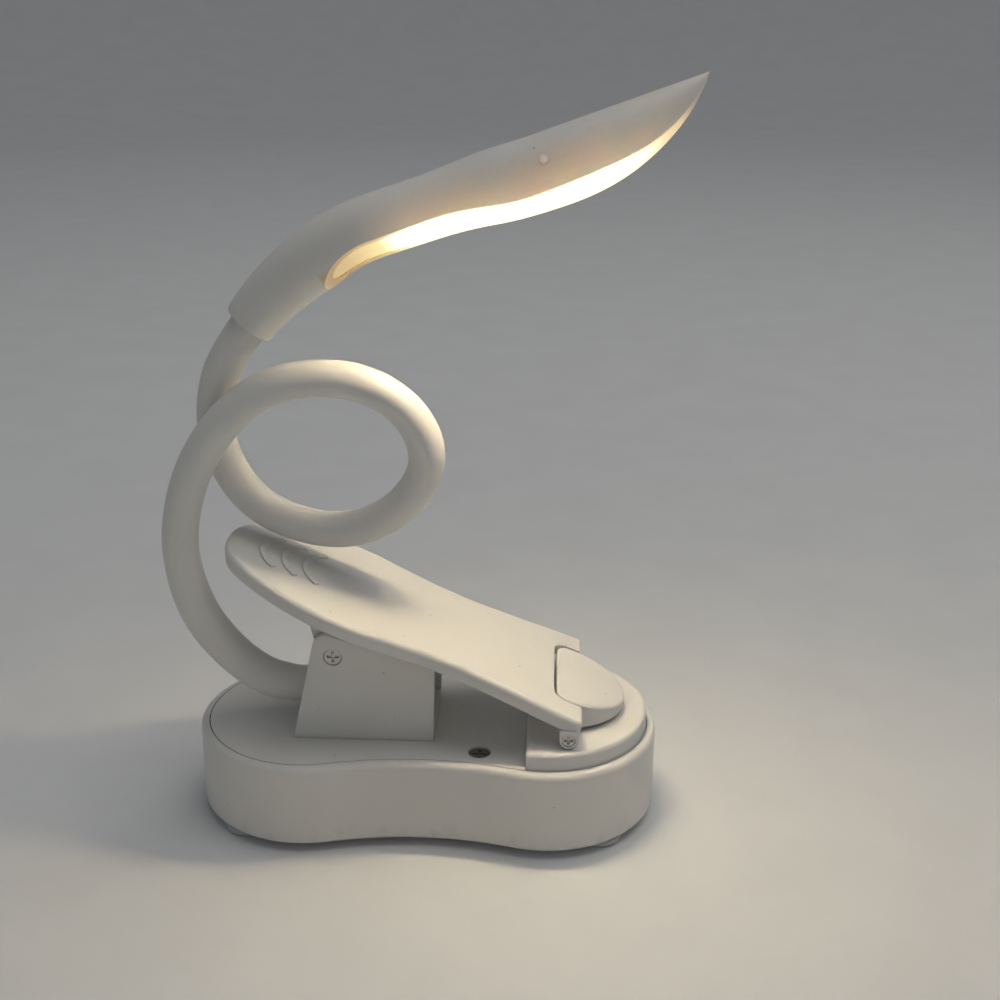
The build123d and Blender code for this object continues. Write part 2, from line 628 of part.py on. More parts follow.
def coil_point(angle, first):
    """Point and travel direction on the spring's helix at an angle in degrees."""
    turn = radians(angle)
    width = COIL_PITCH * (angle - first) / 360 - COIL_PITCH * COIL_TURNS / 2
    place = PIVOT + Vector(COIL_RADIUS * cos(turn), width, COIL_RADIUS * sin(turn))
    rise = COIL_PITCH / (2 * pi)
    travel = Vector(-COIL_RADIUS * sin(turn), rise, COIL_RADIUS * cos(turn)).normalized()
    return place, travel


def leg_up_length():
    """Length of the spring's upper leg that ends just under the lever's plate."""
    slope = radians(LEVER_SLOPE)
    jaw = lever_line(LEVER_PLATE)[0]
    normal = Vector(sin(slope), cos(slope))
    stand = normal.dot(jaw) - normal.dot(Vector(PIVOT_X, PIVOT.Z))
    lean = radians(LEG_UP_ANGLE) - slope
    return (stand - WIRE_RADIUS - LEG_GAP - COIL_RADIUS * cos(lean)) / sin(lean) - WIRE_RADIUS


def torsion_spring():
    """One wire: a leg on the socket block, close turns round the pin and a leg under the lever."""
    first = LEG_DOWN_ANGLE - 90
    last = 90 - LEG_UP_ANGLE + 360 * COIL_TURNS
    steps = 4 * COIL_TURNS + 1
    angles = [first + (last - first) * step / steps for step in range(steps + 1)]
    knots = [coil_point(angle, first) for angle in angles]
    start, start_dir = knots[0]
    end, end_dir = knots[-1]
    path = [Line(start - start_dir * LEG_DOWN_LENGTH, start)]
    for (a, a_dir), (b, b_dir) in zip(knots, knots[1:]):
        path += biarc(a, a_dir, b, b_dir)
    path.append(Line(end, end + end_dir * leg_up_length()))
    wire = Wire([edge for piece in path for edge in piece.edges()])
    rod = sweep(Plane(wire @ 0, z_dir=wire % 0) * Circle(WIRE_RADIUS), path=wire)
    report_self_gap(wire, steps, rod.volume)
    return rod


def report_self_gap(wire, steps, volume):
    """Print the least gap between the spring's neighbouring turns and its volume check."""
    count = 20 * steps
    points = [wire @ (index / count) for index in range(count + 1)]
    half_turn = int(count * pi * COIL_RADIUS / wire.length)
    least = min((points[a] - points[b]).length
                for a in range(count + 1) for b in range(a + half_turn, count + 1))
    print(f"spring least self gap {least - 2 * WIRE_RADIUS:.2f} mm,"
          f" volume over section x length {volume / (pi * WIRE_RADIUS**2 * wire.length):.3f}")


def spring_seat_height():
    """Height of the socket block's top, just under the spring's lower leg."""
    lean = radians(LEG_DOWN_ANGLE)
    tip = PIVOT.Z - COIL_RADIUS * cos(lean) - LEG_DOWN_LENGTH * sin(lean)
    return tip - WIRE_RADIUS * cos(lean) - LEG_GAP


def neck_socket():
    """Block between the cheeks that grips the neck's lower end and seats the spring."""
    half = SOCKET_WIDTH / 2
    floor = HOUSING_TOP + BRACKET_FLOOR
    block = slab(SOCKET_X, (-half, half), (floor, spring_seat_height()))
    length = SOCKET_X[1] - SOCKET_X[0]
    mouth = Pos(SOCKET_X[0], 0, NECK_HEIGHT) * Rot(0, 90, 0)
    inward = (Align.CENTER, Align.CENTER, Align.MIN)
    bore = mouth * Cylinder(NECK_RADIUS + NECK_FIT, length - NECK_STOP, align=inward)
    through = mouth * Cylinder(LEAD_RADIUS + COVER_GAP, length, align=inward)
    return fillet(block.edges().filter_by(Axis.Z), NECK_STOP) - bore - through


def heading(angle):
    """Unit direction in the XZ plane at an angle above the floor."""
    return Vector(cos(radians(angle)), 0, sin(radians(angle)))


def mouth_point(ahead):
    """Point on the collar's axis, ahead of the mouth and into the head."""
    return Vector(MOUTH[0], 0, MOUTH[1]) + heading(MOUTH_HEADING) * ahead


def neck_points():
    """Corners of the neck's route from the socket to inside the collar."""
    start = Vector(SOCKET_X[1] - NECK_STOP, 0, NECK_HEIGHT)
    route = [Vector(*point) for point in NECK_ROUTE]
    return [start, *route, mouth_point(-NECK_APPROACH), mouth_point(NECK_INSERT)]


def corner_radii(points):
    """Largest tangent arc that each corner's two runs leave room for."""
    radii = []
    for before, here, after in zip(points, points[1:], points[2:]):
        run_in, run_out = here - before, after - here
        turn = radians(run_in.get_angle(run_out))
        radii.append(ARC_SHARE * min(run_in.length, run_out.length) / tan(turn / 2))
    return radii


def bend_places(points):
    """Corner before each of the neck's two bends, and the bends' centres halfway to the next one."""
    low = LOW_BEND_COUNT
    high = len(points) - 1 - HIGH_BEND_COUNT
    return low, high, (points[low] + points[low + 1]) * 0.5, (points[high] + points[high + 1]) * 0.5


def neck_paths():
    """Three paths: up to the lower bend, round the loop to the upper bend, and into the head."""
    points = neck_points()
    radii = corner_radii(points)
    low, high, bend_low, bend_high = bend_places(points)
    parts = [
        (points[: low + 1] + [bend_low], radii[:low]),
        ([bend_low] + points[low + 1: high + 1] + [bend_high], radii[low:high]),
        ([bend_high] + points[high + 1:], radii[high:]),
    ]
    print("neck radii", [round(radius, 1) for radius in radii])
    print("bend centres", bend_low, bend_high)
    return [FilletPolyline(*corners, radius=bends) for corners, bends in parts], bend_low, bend_high


def tube(path, radius, bore=0.0):
    """Round tube, or rod without a bore, along a path."""
    start = Plane(path @ 0, z_dir=path % 0)
    body = sweep(start * Circle(radius), path=path)
    expected = pi * (radius**2 - bore**2) * path.length
    if bore:
        body -= sweep(start * Circle(bore), path=path)
    print(f"tube r{radius:.2f}: volume over section x length {body.volume / expected:.4f}")
    return body


def ball(centre, radius):
    """Ball that a bend turns about."""
    return Pos(centre) * Sphere(radius)


def neck_layer(paths, bend_low, bend_high, radius, bore=0.0):
    """One layer of the neck as three lengths that meet in spherical joints."""
    lower, loop, upper = [tube(path, radius, bore) for path in paths]
    lower_end = loop & ball(bend_low, BEND_RADIUS)
    loop_end = upper & ball(bend_high, BEND_RADIUS)
    loop -= ball(bend_low, BEND_RADIUS + BEND_GAP)
    upper -= ball(bend_high, BEND_RADIUS + BEND_GAP)
    return lower + lower_end, loop + loop_end, upper


def lead_paths(paths):
    """Paths of the lead: from the board up into the neck, round the loop, and on to the lamp board."""
    points = neck_points()
    radii = corner_radii(points)
    low, high, bend_low, bend_high = bend_places(points)
    board = Vector(LEAD_DROP_X, 0, FLOOR_TOP + BOARD_LIFT + BOARD_THICK)
    turn = Vector(LEAD_DROP_X, 0, NECK_HEIGHT)
    corners = [board, turn, *points[1: low + 1], bend_low]
    lower = FilletPolyline(*corners, radius=[LEAD_DROP_BEND] + radii[:low])
    x, z, angle, _ = ELBOW_STATIONS[0]
    elbow = Vector(x, 0, z) + heading(angle + 90) * LEAD_RISE
    back = blade_point(LED_BOARD_FROM_TIP[1] + LEAD_GAP, LED_BOARD_LIFT - LED_BOARD_THICK / 2)
    ends = [bend_high, points[high + 1], mouth_point(NECK_INSERT + LEAD_RISE), elbow, back]
    upper = FilletPolyline(*ends, radius=corner_radii(ends))
    return [lower, paths[1], upper]


def blade_axes():
    """Unit axes of the blade: along it, up out of its back, and across, after the roll."""
    along = heading(BLADE_HEADING)
    up = heading(BLADE_HEADING + 90)
    roll = radians(HEAD_ROLL)
    back = up * cos(roll) + Vector(0, 1, 0) * sin(roll)
    return along, back, along.cross(back)


def tip_point():
    """Point of the quill."""
    return Vector(BLADE_TIP[0], 0, BLADE_TIP[1])


def blade_point(from_tip, lift):
    """Point in the blade by its distance from the tip and its lift above the blade's axis."""
    return blade_centre(from_tip, BLADE_RADIUS) + blade_axes()[1] * lift


def blade_centre(from_tip, radius):
    """Middle of a round section whose highest point lies on the blade's straight back."""
    up = heading(BLADE_HEADING + 90)
    return tip_point() - heading(BLADE_HEADING) * from_tip - up * radius


def head_sections():
    """Middle, heading and radius of every round section from the mouth to the tip."""
    rows = [(mouth_point(0), MOUTH_HEADING, MOUTH_RADIUS),
            (mouth_point(COLLAR_LENGTH), MOUTH_HEADING, MOUTH_RADIUS + COLLAR_SWELL)]
    rows += [(Vector(x, 0, z), angle, radius) for x, z, angle, radius in ELBOW_STATIONS]
    rows += [(blade_centre(from_tip, radius), BLADE_HEADING, radius) for from_tip, radius in BLADE_SECTIONS]
    return rows


def head_solid(shrink):
    """Smooth solid through the round sections of the head, drawn in by a shrink."""
    rings = []
    for middle, angle, radius in head_sections():
        if radius > 2 * shrink:
            plane = Plane(middle, x_dir=Vector(0, 1, 0), z_dir=heading(angle))
            rings.append(plane * Circle(radius - shrink))
    return loft(rings)


def cut_body(lift):
    """Everything beyond the quill's curved opening, raised into the head by a lift."""
    along, back, side = blade_axes()
    plane = Plane(tip_point() + back * lift, x_dir=-along, z_dir=side)
    sense = 1.0 if plane.y_dir.dot(back) > 0 else -1.0

    def at(from_tip, depth):
        return (from_tip, -sense * depth)

    throat_near, throat_far = CUT_THROAT_FROM_TIP
    mid = (CUT_LENGTH + throat_near) / 2
    waist = (CUT_DEPTH + CUT_THROAT) / 2
    nose = Bezier(at(0, 0), *[at(*point) for point in CUT_NOSE], at(CUT_LENGTH, CUT_DEPTH))
    bulge = TangentArc(at(CUT_LENGTH, CUT_DEPTH), at(mid, waist), tangent=(1, 0))
    throat = TangentArc(at(throat_near, CUT_THROAT), at(mid, waist), tangent=(-1, 0))
    flat = Line(at(throat_near, CUT_THROAT), at(throat_far, CUT_THROAT))
    heel = TangentArc(at(throat_far, CUT_THROAT), at(CUT_HEEL_FROM_TIP, CUT_HEEL), tangent=(1, 0))
    deep = 3 * CUT_DEPTH
    rest = Polyline(at(CUT_HEEL_FROM_TIP, CUT_HEEL), at(CUT_HEEL_FROM_TIP, deep), at(-CUT_DEPTH, deep),
                    at(-CUT_DEPTH, 0), at(0, 0))
    face = make_face(Curve() + [nose, bulge, throat, flat, heel, *rest.edges()])
    return extrude(plane * face, 2 * CUT_DEPTH, both=True)


def dot_bar(radius, low, high):
    """Short bar square to the shell at the indicator."""
    centre = blade_centre(DOT_FROM_TIP, BLADE_RADIUS)
    out = heading(BLADE_HEADING + 90) * cos(radians(DOT_ANGLE)) - Vector(0, 1, 0) * sin(radians(DOT_ANGLE))
    base = Plane(centre + out * (BLADE_RADIUS + low), z_dir=out)
    return extrude(base * Circle(radius), high - low)


def head_shade():
    """Quill shell: a bent, swelling tube cut open along a curved edge to a point."""
    shell = head_solid(0) - head_solid(HEAD_WALL) - cut_body(0)
    plane = Plane(mouth_point(0), z_dir=heading(MOUTH_HEADING))
    shell -= extrude(plane * Circle(MOUTH_RADIUS - COLLAR_WALL), COLLAR_LENGTH)
    return shell - dot_bar(DOT_RADIUS + DOT_FIT, -2 * HEAD_WALL, HEAD_WALL)


def diffuser():
    """Curved milky panel that closes the opening just inside the rim."""
    inside = head_solid(HEAD_WALL + DIFFUSER_FIT)
    body = inside & cut_body(DIFFUSER_RECESS + DIFFUSER_THICK)
    return body - cut_body(DIFFUSER_RECESS)


def led_board():
    """Long narrow board across the inside of the blade."""
    return blade_slab(LED_BOARD_FROM_TIP, LED_BOARD_LIFT - LED_BOARD_THICK, LED_BOARD_LIFT, LED_BOARD_HALF)


def blade_slab(from_tip, low, high, half):
    """Box along the blade between two distances from the tip and two lifts above its axis."""
    along, back, _ = blade_axes()
    plane = Plane(blade_point(from_tip[1], low), x_dir=along, z_dir=back)
    base = plane * Rectangle(from_tip[1] - from_tip[0], 2 * half, align=(Align.MIN, Align.CENTER))
    return extrude(base, high - low)


def leds():
    """Row of light-emitting chips on the face of the board."""
    near, far = LED_BOARD_FROM_TIP
    pitch = (far - near) / LED_COUNT
    face = LED_BOARD_LIFT - LED_BOARD_THICK
    chips = []
    for index in range(LED_COUNT):
        middle = near + pitch * (index + 0.5)
        ends = (middle - LED_LENGTH / 2, middle + LED_LENGTH / 2)
        chip = blade_slab(ends, face - LED_THICK, face, LED_WIDTH / 2)
        chips.append(Solid(chip.solids()[0].wrapped))
    return Compound(chips)


def indicator_lens():
    """Small light pipe through the shell's near side."""
    return dot_bar(DOT_RADIUS, -HEAD_WALL, DOT_PROUD)


def neck_bush():
    """Ring that centres the neck in the head's collar."""
    plane = Plane(mouth_point(0), z_dir=heading(MOUTH_HEADING))
    ring = Circle(MOUTH_RADIUS - COLLAR_WALL - BUSH_FIT) - Circle(NECK_RADIUS + NECK_FIT)
    return extrude(plane * ring, BUSH_LENGTH)


def build():
    """Make every piece and write it under its node name."""
    os.makedirs("parts", exist_ok=True)
    for make in (base_housing, top_cover, rubber_feet, cover_screws, bracket_screws, battery_cell,
                 control_board, charging_inlet, clip_bracket, pivot_pin, clip_lever, jaw_platform,
                 jaw_shoe, jaw_pad, jaw_pin, torsion_spring, neck_socket, head_shade, diffuser,
                 led_board, leds, indicator_lens, neck_bush):
        save(make.__name__, make())
    paths, bend_low, bend_high = neck_paths()
    core_bore = CORE_RADIUS - CORE_WALL
    layers = {
        "neck_sleeve": neck_layer(paths, bend_low, bend_high, NECK_RADIUS, NECK_RADIUS - SLEEVE_WALL),
        "neck_core": neck_layer(paths, bend_low, bend_high, CORE_RADIUS, core_bore),
        "lead": neck_layer(lead_paths(paths), bend_low, bend_high, LEAD_RADIUS),
    }
    for layer, lengths in layers.items():
        for name, length in zip(("lower", "loop", "upper"), lengths):
            save(f"{layer}_{name}", length)


build()
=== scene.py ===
"""Looks of the clip-on reading lamp: finishes, soft neck, wound spring, lit head and a plain studio."""
import json
import logging
import math
from dataclasses import dataclass, field
from enum import Enum
from typing import ClassVar

import bpy
from mathutils import Matrix, Vector


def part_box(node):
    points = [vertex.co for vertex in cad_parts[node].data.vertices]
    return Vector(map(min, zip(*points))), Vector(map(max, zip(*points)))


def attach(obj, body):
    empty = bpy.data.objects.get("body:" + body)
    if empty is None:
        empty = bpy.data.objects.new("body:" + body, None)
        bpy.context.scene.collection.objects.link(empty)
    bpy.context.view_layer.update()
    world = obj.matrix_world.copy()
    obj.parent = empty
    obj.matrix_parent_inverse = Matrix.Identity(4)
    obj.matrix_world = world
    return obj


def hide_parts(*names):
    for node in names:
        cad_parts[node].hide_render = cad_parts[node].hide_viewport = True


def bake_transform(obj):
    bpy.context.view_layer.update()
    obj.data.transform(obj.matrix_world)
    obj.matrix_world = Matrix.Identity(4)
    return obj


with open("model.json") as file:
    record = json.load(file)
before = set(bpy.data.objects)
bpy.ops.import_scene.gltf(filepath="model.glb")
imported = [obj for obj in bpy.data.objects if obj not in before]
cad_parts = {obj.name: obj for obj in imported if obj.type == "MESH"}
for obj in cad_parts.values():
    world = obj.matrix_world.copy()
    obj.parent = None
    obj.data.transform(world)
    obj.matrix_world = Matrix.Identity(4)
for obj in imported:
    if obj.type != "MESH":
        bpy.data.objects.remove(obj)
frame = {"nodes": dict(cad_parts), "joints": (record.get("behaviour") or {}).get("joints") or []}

LOG = logging.getLogger("reading_lamp")
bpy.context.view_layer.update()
MM = 0.001

Socket = bpy.types.NodeSocket
Range = tuple[float, float]
Tone = tuple[float, float, float]
Levels = tuple[tuple[float, float], ...]
Stops = tuple[tuple[float, Tone], ...]


class Grain(Enum):
    """Kinds of fine relief that a finish carries."""

    MOULDED = "moulded"
    SATIN = "satin"
    BRUSHED = "brushed"
    PEBBLED = "pebbled"


class NodeBench:
    """Node tree of one material with short ways to add and join nodes."""

    ray_samples: int = 6
    shut_range: Range = (0.25, 0.85)
    mix_colours: tuple[int, int] = (6, 7)
    mix_result: int = 2

    def __init__(self, label: str) -> None:
        """Start a material with a principled shader.

        Args:
            label: Name of the material.
        """
        self.material = bpy.data.materials.new(label)
        self.material.use_nodes = True
        self.tree = self.material.node_tree
        self.shader = self.tree.nodes["Principled BSDF"]
        source = self.tree.nodes.new("ShaderNodeTexCoord")
        self.coords = source.outputs["Object"]
        self.facing = source.outputs["Normal"]

    def add(self, kind: str, **settings: object) -> bpy.types.Node:
        """Add a node and set its properties.

        Args:
            kind: Blender's name of the node type.
            **settings: Properties of the node.

        Returns:
            The new node.
        """
        node = self.tree.nodes.new(kind)
        for key, value in settings.items():
            setattr(node, key, value)
        return node

    def join(self, out: Socket, into: Socket) -> None:
        """Link two sockets."""
        self.tree.links.new(out, into)

    def noise(self, scale: float, detail: float, stretch: Vector | None = None) -> Socket:
        """Noise over the piece's own coordinates.

        Args:
            scale: Cells per metre.
            detail: Octaves of the noise.
            stretch: Scale of each axis before the noise, or None.

        Returns:
            The socket with the noise value.
        """
        texture = self.add("ShaderNodeTexNoise")
        texture.inputs["Scale"].default_value = scale
        texture.inputs["Detail"].default_value = detail
        source = self.coords
        if stretch is not None:
            mapping = self.add("ShaderNodeMapping")
            mapping.inputs["Scale"].default_value = stretch
            self.join(source, mapping.inputs["Vector"])
            source = mapping.outputs["Vector"]
        self.join(source, texture.inputs["Vector"])
        return texture.outputs["Fac"]

    def cells(self, scale: float, feature: str = "F1") -> Socket:
        """Distance to the nearest of scattered cell middles.

        Args:
            scale: Cells per metre.
            feature: Kind of distance.

        Returns:
            The socket with the distance, in cells.
        """
        texture = self.add("ShaderNodeTexVoronoi", feature=feature)
        texture.inputs["Scale"].default_value = scale
        self.join(self.coords, texture.inputs["Vector"])
        return texture.outputs["Distance"]

    def ramp(self, value: Socket, stops: Stops) -> Socket:
        """Colour ramp over a value.

        Args:
            value: Socket with the value.
            stops: Position and colour of each stop, in rising order.

        Returns:
            The socket with the colour.
        """
        node = self.add("ShaderNodeValToRGB")
        elements = node.color_ramp.elements
        elements.remove(elements[1])
        elements[0].position = stops[0][0]
        elements[0].color = (*stops[0][1], 1.0)
        for place, colour in stops[1:]:
            elements.new(place).color = (*colour, 1.0)
        self.join(value, node.inputs["Fac"])
        return node.outputs["Color"]

    def curve(self, value: Socket, levels: Levels) -> Socket:
        """Grey ramp over a value.

        Args:
            value: Socket with the value.
            levels: Position and level of each stop, in rising order.

        Returns:
            The socket with the level.
        """
        return self.ramp(value, tuple((at, (level,) * 3) for at, level in levels))

    def spread(self, value: Socket, source: Range, target: Range) -> Socket:
        """Map a value from one range to another.

        Args:
            value: Socket with the value.
            source: Low and high of the incoming range.
            target: Low and high of the outgoing range.

        Returns:
            The socket with the mapped value.
        """
        node = self.add("ShaderNodeMapRange")
        for name, number in zip(("From Min", "From Max", "To Min", "To Max"), (*source, *target)):
            node.inputs[name].default_value = number
        self.join(value, node.inputs["Value"])
        return node.outputs["Result"]

    def measure(self, other: Vector, kind: str, of: Socket | None = None) -> Socket:
        """Number from a vector and a fixed one, by default from a point in the piece's own coordinates.

        Args:
            other: The fixed vector, in the lamp's frame.
            kind: Operation of the node.
            of: Socket with another vector, or None.

        Returns:
            The socket with the number.
        """
        node = self.add("ShaderNodeVectorMath", operation=kind)
        self.join(of or self.coords, node.inputs[0])
        node.inputs[1].default_value = other
        return node.outputs["Value"]

    def along(self, direction: Vector, of: Socket | None = None) -> Socket:
        """Share of a point, or of another vector, along a unit direction."""
        return self.measure(direction, "DOT_PRODUCT", of)

    def blend(self, share: Socket, low: Socket | Tone, high: Socket | Tone) -> Socket:
        """Mix two colours.

        Args:
            share: Socket with the share of the second colour.
            low: First colour.
            high: Second colour.

        Returns:
            The socket with the mixed colour.
        """
        node = self.add("ShaderNodeMix", data_type="RGBA")
        self.join(share, node.inputs["Factor"])
        for place, value in zip(self.mix_colours, (low, high)):
            if isinstance(value, Socket):
                self.join(value, node.inputs[place])
            else:
                node.inputs[place].default_value = (*value, 1.0)
        return node.outputs[self.mix_result]

    def combine(self, first: Socket, second: Socket | float, kind: str = "MULTIPLY") -> Socket:
        """Combine two values and keep the result between 0 and 1.

        Args:
            first: Socket with the first value.
            second: Second value.
            kind: Operation of the node.

        Returns:
            The socket with the combined value.
        """
        node = self.add("ShaderNodeMath", operation=kind, use_clamp=True)
        self.join(first, node.inputs[0])
        if isinstance(second, Socket):
            self.join(second, node.inputs[1])
        else:
            node.inputs[1].default_value = second
        return node.outputs[0]

    def crevice(self, reach: float) -> Socket:
        """Share by which a point is shut in by what stands near it, used to paint shade into crevices.

        Args:
            reach: Distance that is looked at, in metres.

        Returns:
            The socket with the share, 0 in the open.
        """
        node = self.add("ShaderNodeAmbientOcclusion", samples=self.ray_samples)
        node.inputs["Distance"].default_value = reach
        return self.spread(node.outputs["AO"], self.shut_range, (1.0, 0.0))

    def relief(self, height: Socket, depth: float, strength: float, edge: float) -> None:
        """Put a bump, over softly rounded edges, on the shader.

        Args:
            height: Socket with the relief.
            depth: Depth of the relief in metres.
            strength: Strength of the bump.
            edge: Radius that sharp edges are shaded with, in metres.
        """
        bump = self.add("ShaderNodeBump")
        bump.inputs["Strength"].default_value = strength
        bump.inputs["Distance"].default_value = depth
        self.join(height, bump.inputs["Height"])
        if edge:
            bevel = self.add("ShaderNodeBevel", samples=self.ray_samples)
            bevel.inputs["Radius"].default_value = edge
            self.join(bevel.outputs["Normal"], bump.inputs["Normal"])
        self.join(bump.outputs["Normal"], self.shader.inputs["Normal"])

    def emit(self, colour: Socket, power: float) -> None:
        """Let the surface give off a colour at a power."""
        self.join(colour, self.shader.inputs["Emission Color"])
        self.shader.inputs["Emission Strength"].default_value = power


@dataclass(frozen=True)
class Finish:
    """Surface of one kind of piece: two close tones, a roughness range and a fine relief."""

    label: str
    tone: Tone
    shade: Tone
    roughness: Range
    grain: Grain
    grain_scale: float
    depth: float
    strength: float = 0.25
    edge: float = 0.0
    metallic: float = 0.0
    subsurface: float = 0.0
    # dark tone of the specks of dirt and of the painted shade in crevices; reach and share of that painted shade
    speck_and_shade_tone: Tone = (0.0, 0.0, 0.0)
    painted_shade_reach: float = 0.0
    painted_shade_share: float = 0.5
    speck_share: float = 0.0
    speck_size: float = 0.3 * MM
    speck_scale: float = 160.0

    specular: ClassVar[float] = 0.5
    scatter: ClassVar[Tone] = (1.2, 1.0, 0.8)
    scatter_depth: ClassVar[float] = 1.2 * MM
    drift_noise: ClassVar[Range] = (38.0, 4.0)
    drift_range: ClassVar[Range] = (0.34, 0.62)
    fleck_scale: ClassVar[float] = 0.5
    fleck_detail: ClassVar[float] = 2.0
    fleck_range: ClassVar[Range] = (0.62, 0.78)
    fleck_share: ClassVar[float] = 0.35
    cloud_scale: ClassVar[float] = 0.06
    cloud_detail: ClassVar[float] = 3.0
    cloud_range: ClassVar[Range] = (0.3, 0.7)
    speck_core: ClassVar[float] = 0.4
    brushing: ClassVar[Tone] = (1.0, 0.06, 1.0)
    relief_detail: ClassVar[dict[Grain, float]] = {Grain.BRUSHED: 3.0, Grain.MOULDED: 5.0, Grain.SATIN: 2.0}
    made: ClassVar[dict[str, bpy.types.Material]] = {}

    def material(self) -> bpy.types.Material:
        """Material of the finish, made once and then shared.

        Returns:
            The material.
        """
        if self.label not in self.made:
            bench = NodeBench(self.label)
            self.dress(bench)
            self.made[self.label] = bench.material
        return self.made[self.label]

    def dress(self, bench: NodeBench) -> None:
        """Colour, roughness and relief of the surface.

        Args:
            bench: Node tree to fill.
        """
        shader = bench.shader
        shader.inputs["Metallic"].default_value = self.metallic
        shader.inputs["Specular IOR Level"].default_value = self.specular
        if self.subsurface:
            shader.inputs["Subsurface Weight"].default_value = self.subsurface
            shader.inputs["Subsurface Radius"].default_value = self.scatter
            shader.inputs["Subsurface Scale"].default_value = self.scatter_depth
        bench.join(self.colour(bench), shader.inputs["Base Color"])
        cloud = bench.noise(self.grain_scale * self.cloud_scale, self.cloud_detail)
        bench.join(bench.spread(cloud, self.cloud_range, self.roughness), shader.inputs["Roughness"])
        bench.relief(self.height(bench), self.depth, self.strength, self.edge)

    def colour(self, bench: NodeBench) -> Socket:
        """Broad and fine drift between the two tones, with marks of handling and painted shade in the corners.

        Args:
            bench: Node tree to fill.

        Returns:
            The socket with the colour.
        """
        low, high = self.drift_range
        base = bench.ramp(bench.noise(*self.drift_noise), ((low, self.shade), (high, self.tone)))
        fleck = bench.noise(self.grain_scale * self.fleck_scale, self.fleck_detail)
        plain = bench.blend(bench.spread(fleck, self.fleck_range, (0.0, self.fleck_share)), base, self.shade)
        if self.speck_share:
            plain = bench.blend(self.specks(bench), plain, self.speck_and_shade_tone)
        if not self.painted_shade_reach:
            return plain
        # painted shade: crevices and seams darkened by ambient occlusion
        painted_shade = bench.combine(bench.crevice(self.painted_shade_reach), self.painted_shade_share)
        return bench.blend(painted_shade, plain, self.speck_and_shade_tone)

    def specks(self, bench: NodeBench) -> Socket:
        """Sparse small marks of handling.

        Args:
            bench: Node tree to fill.

        Returns:
            The socket with the share of each mark.
        """
        size = self.speck_size * self.speck_scale
        return bench.spread(bench.cells(self.speck_scale), (self.speck_core * size, size), (self.speck_share, 0.0))

    def height(self, bench: NodeBench) -> Socket:
        """Fine relief of the surface by its kind of grain.

        Args:
            bench: Node tree to fill.

        Returns:
            The socket with the height.
        """
        if self.grain is Grain.PEBBLED:
            return bench.cells(self.grain_scale, "SMOOTH_F1")
        stretch = Vector(self.brushing) if self.grain is Grain.BRUSHED else None
        return bench.noise(self.grain_scale, self.relief_detail[self.grain], stretch)


@dataclass(frozen=True)
class LowBandShell(Finish):
    """Moulded shell that is darker, in broken patches, towards the bottom."""

    floor_z: float = 2.0 * MM
    reach: float = 6.0 * MM
    mark: Tone = (0.55, 0.53, 0.49)
    patch_noise: Range = (240.0, 6.0)
    patch_range: Range = (0.52, 0.72)
    patch_share: float = 0.5

    def colour(self, bench: NodeBench) -> Socket:
        """Shell colour, darker in a broken band along the lower edge.

        Args:
            bench: Node tree to fill.

        Returns:
            The socket with the colour.
        """
        base = super().colour(bench)
        low = bench.spread(bench.along(Vector((0, 0, 1))), (self.floor_z, self.floor_z + self.reach), (1.0, 0.0))
        patch = bench.spread(bench.noise(*self.patch_noise), self.patch_range, (0.0, self.patch_share))
        return bench.blend(bench.combine(low, patch), base, self.mark)


@dataclass(frozen=True)
class LitPanel(Finish):
    """Milky piece lit from behind, by place along an axis."""

    axis: Vector = field(default_factory=lambda: Vector((1, 0, 0)))
    span: Range = (0.0, 1.0)
    glow: Stops = ()
    power: float = 1.0

    def dress(self, bench: NodeBench) -> None:
        """Add the glow to the plain surface.

        Args:
            bench: Node tree to fill.
        """
        super().dress(bench)
        place = bench.spread(bench.along(self.axis), self.span, (0.0, 1.0))
        bench.emit(bench.ramp(place, self.glow), self.power)


@dataclass(frozen=True)
class SoftDot(Finish):
    """Piece of the shell's own tone with a glow that fades out from its middle."""

    middle: Vector = field(default_factory=Vector)
    fade: Range = (0.65 * MM, 1.3 * MM)
    rim: Tone = (0.16, 0.11, 0.05)
    glow: Tone = (1.0, 0.82, 0.46)
    power: float = 0.24

    def dress(self, bench: NodeBench) -> None:
        """Add the fading glow to the plain surface.

        Args:
            bench: Node tree to fill.
        """
        super().dress(bench)
        near = bench.spread(bench.measure(self.middle, "DISTANCE"), self.fade, (1.0, 0.0))
        bench.emit(bench.ramp(near, ((0.0, self.rim), (1.0, self.glow))), self.power)


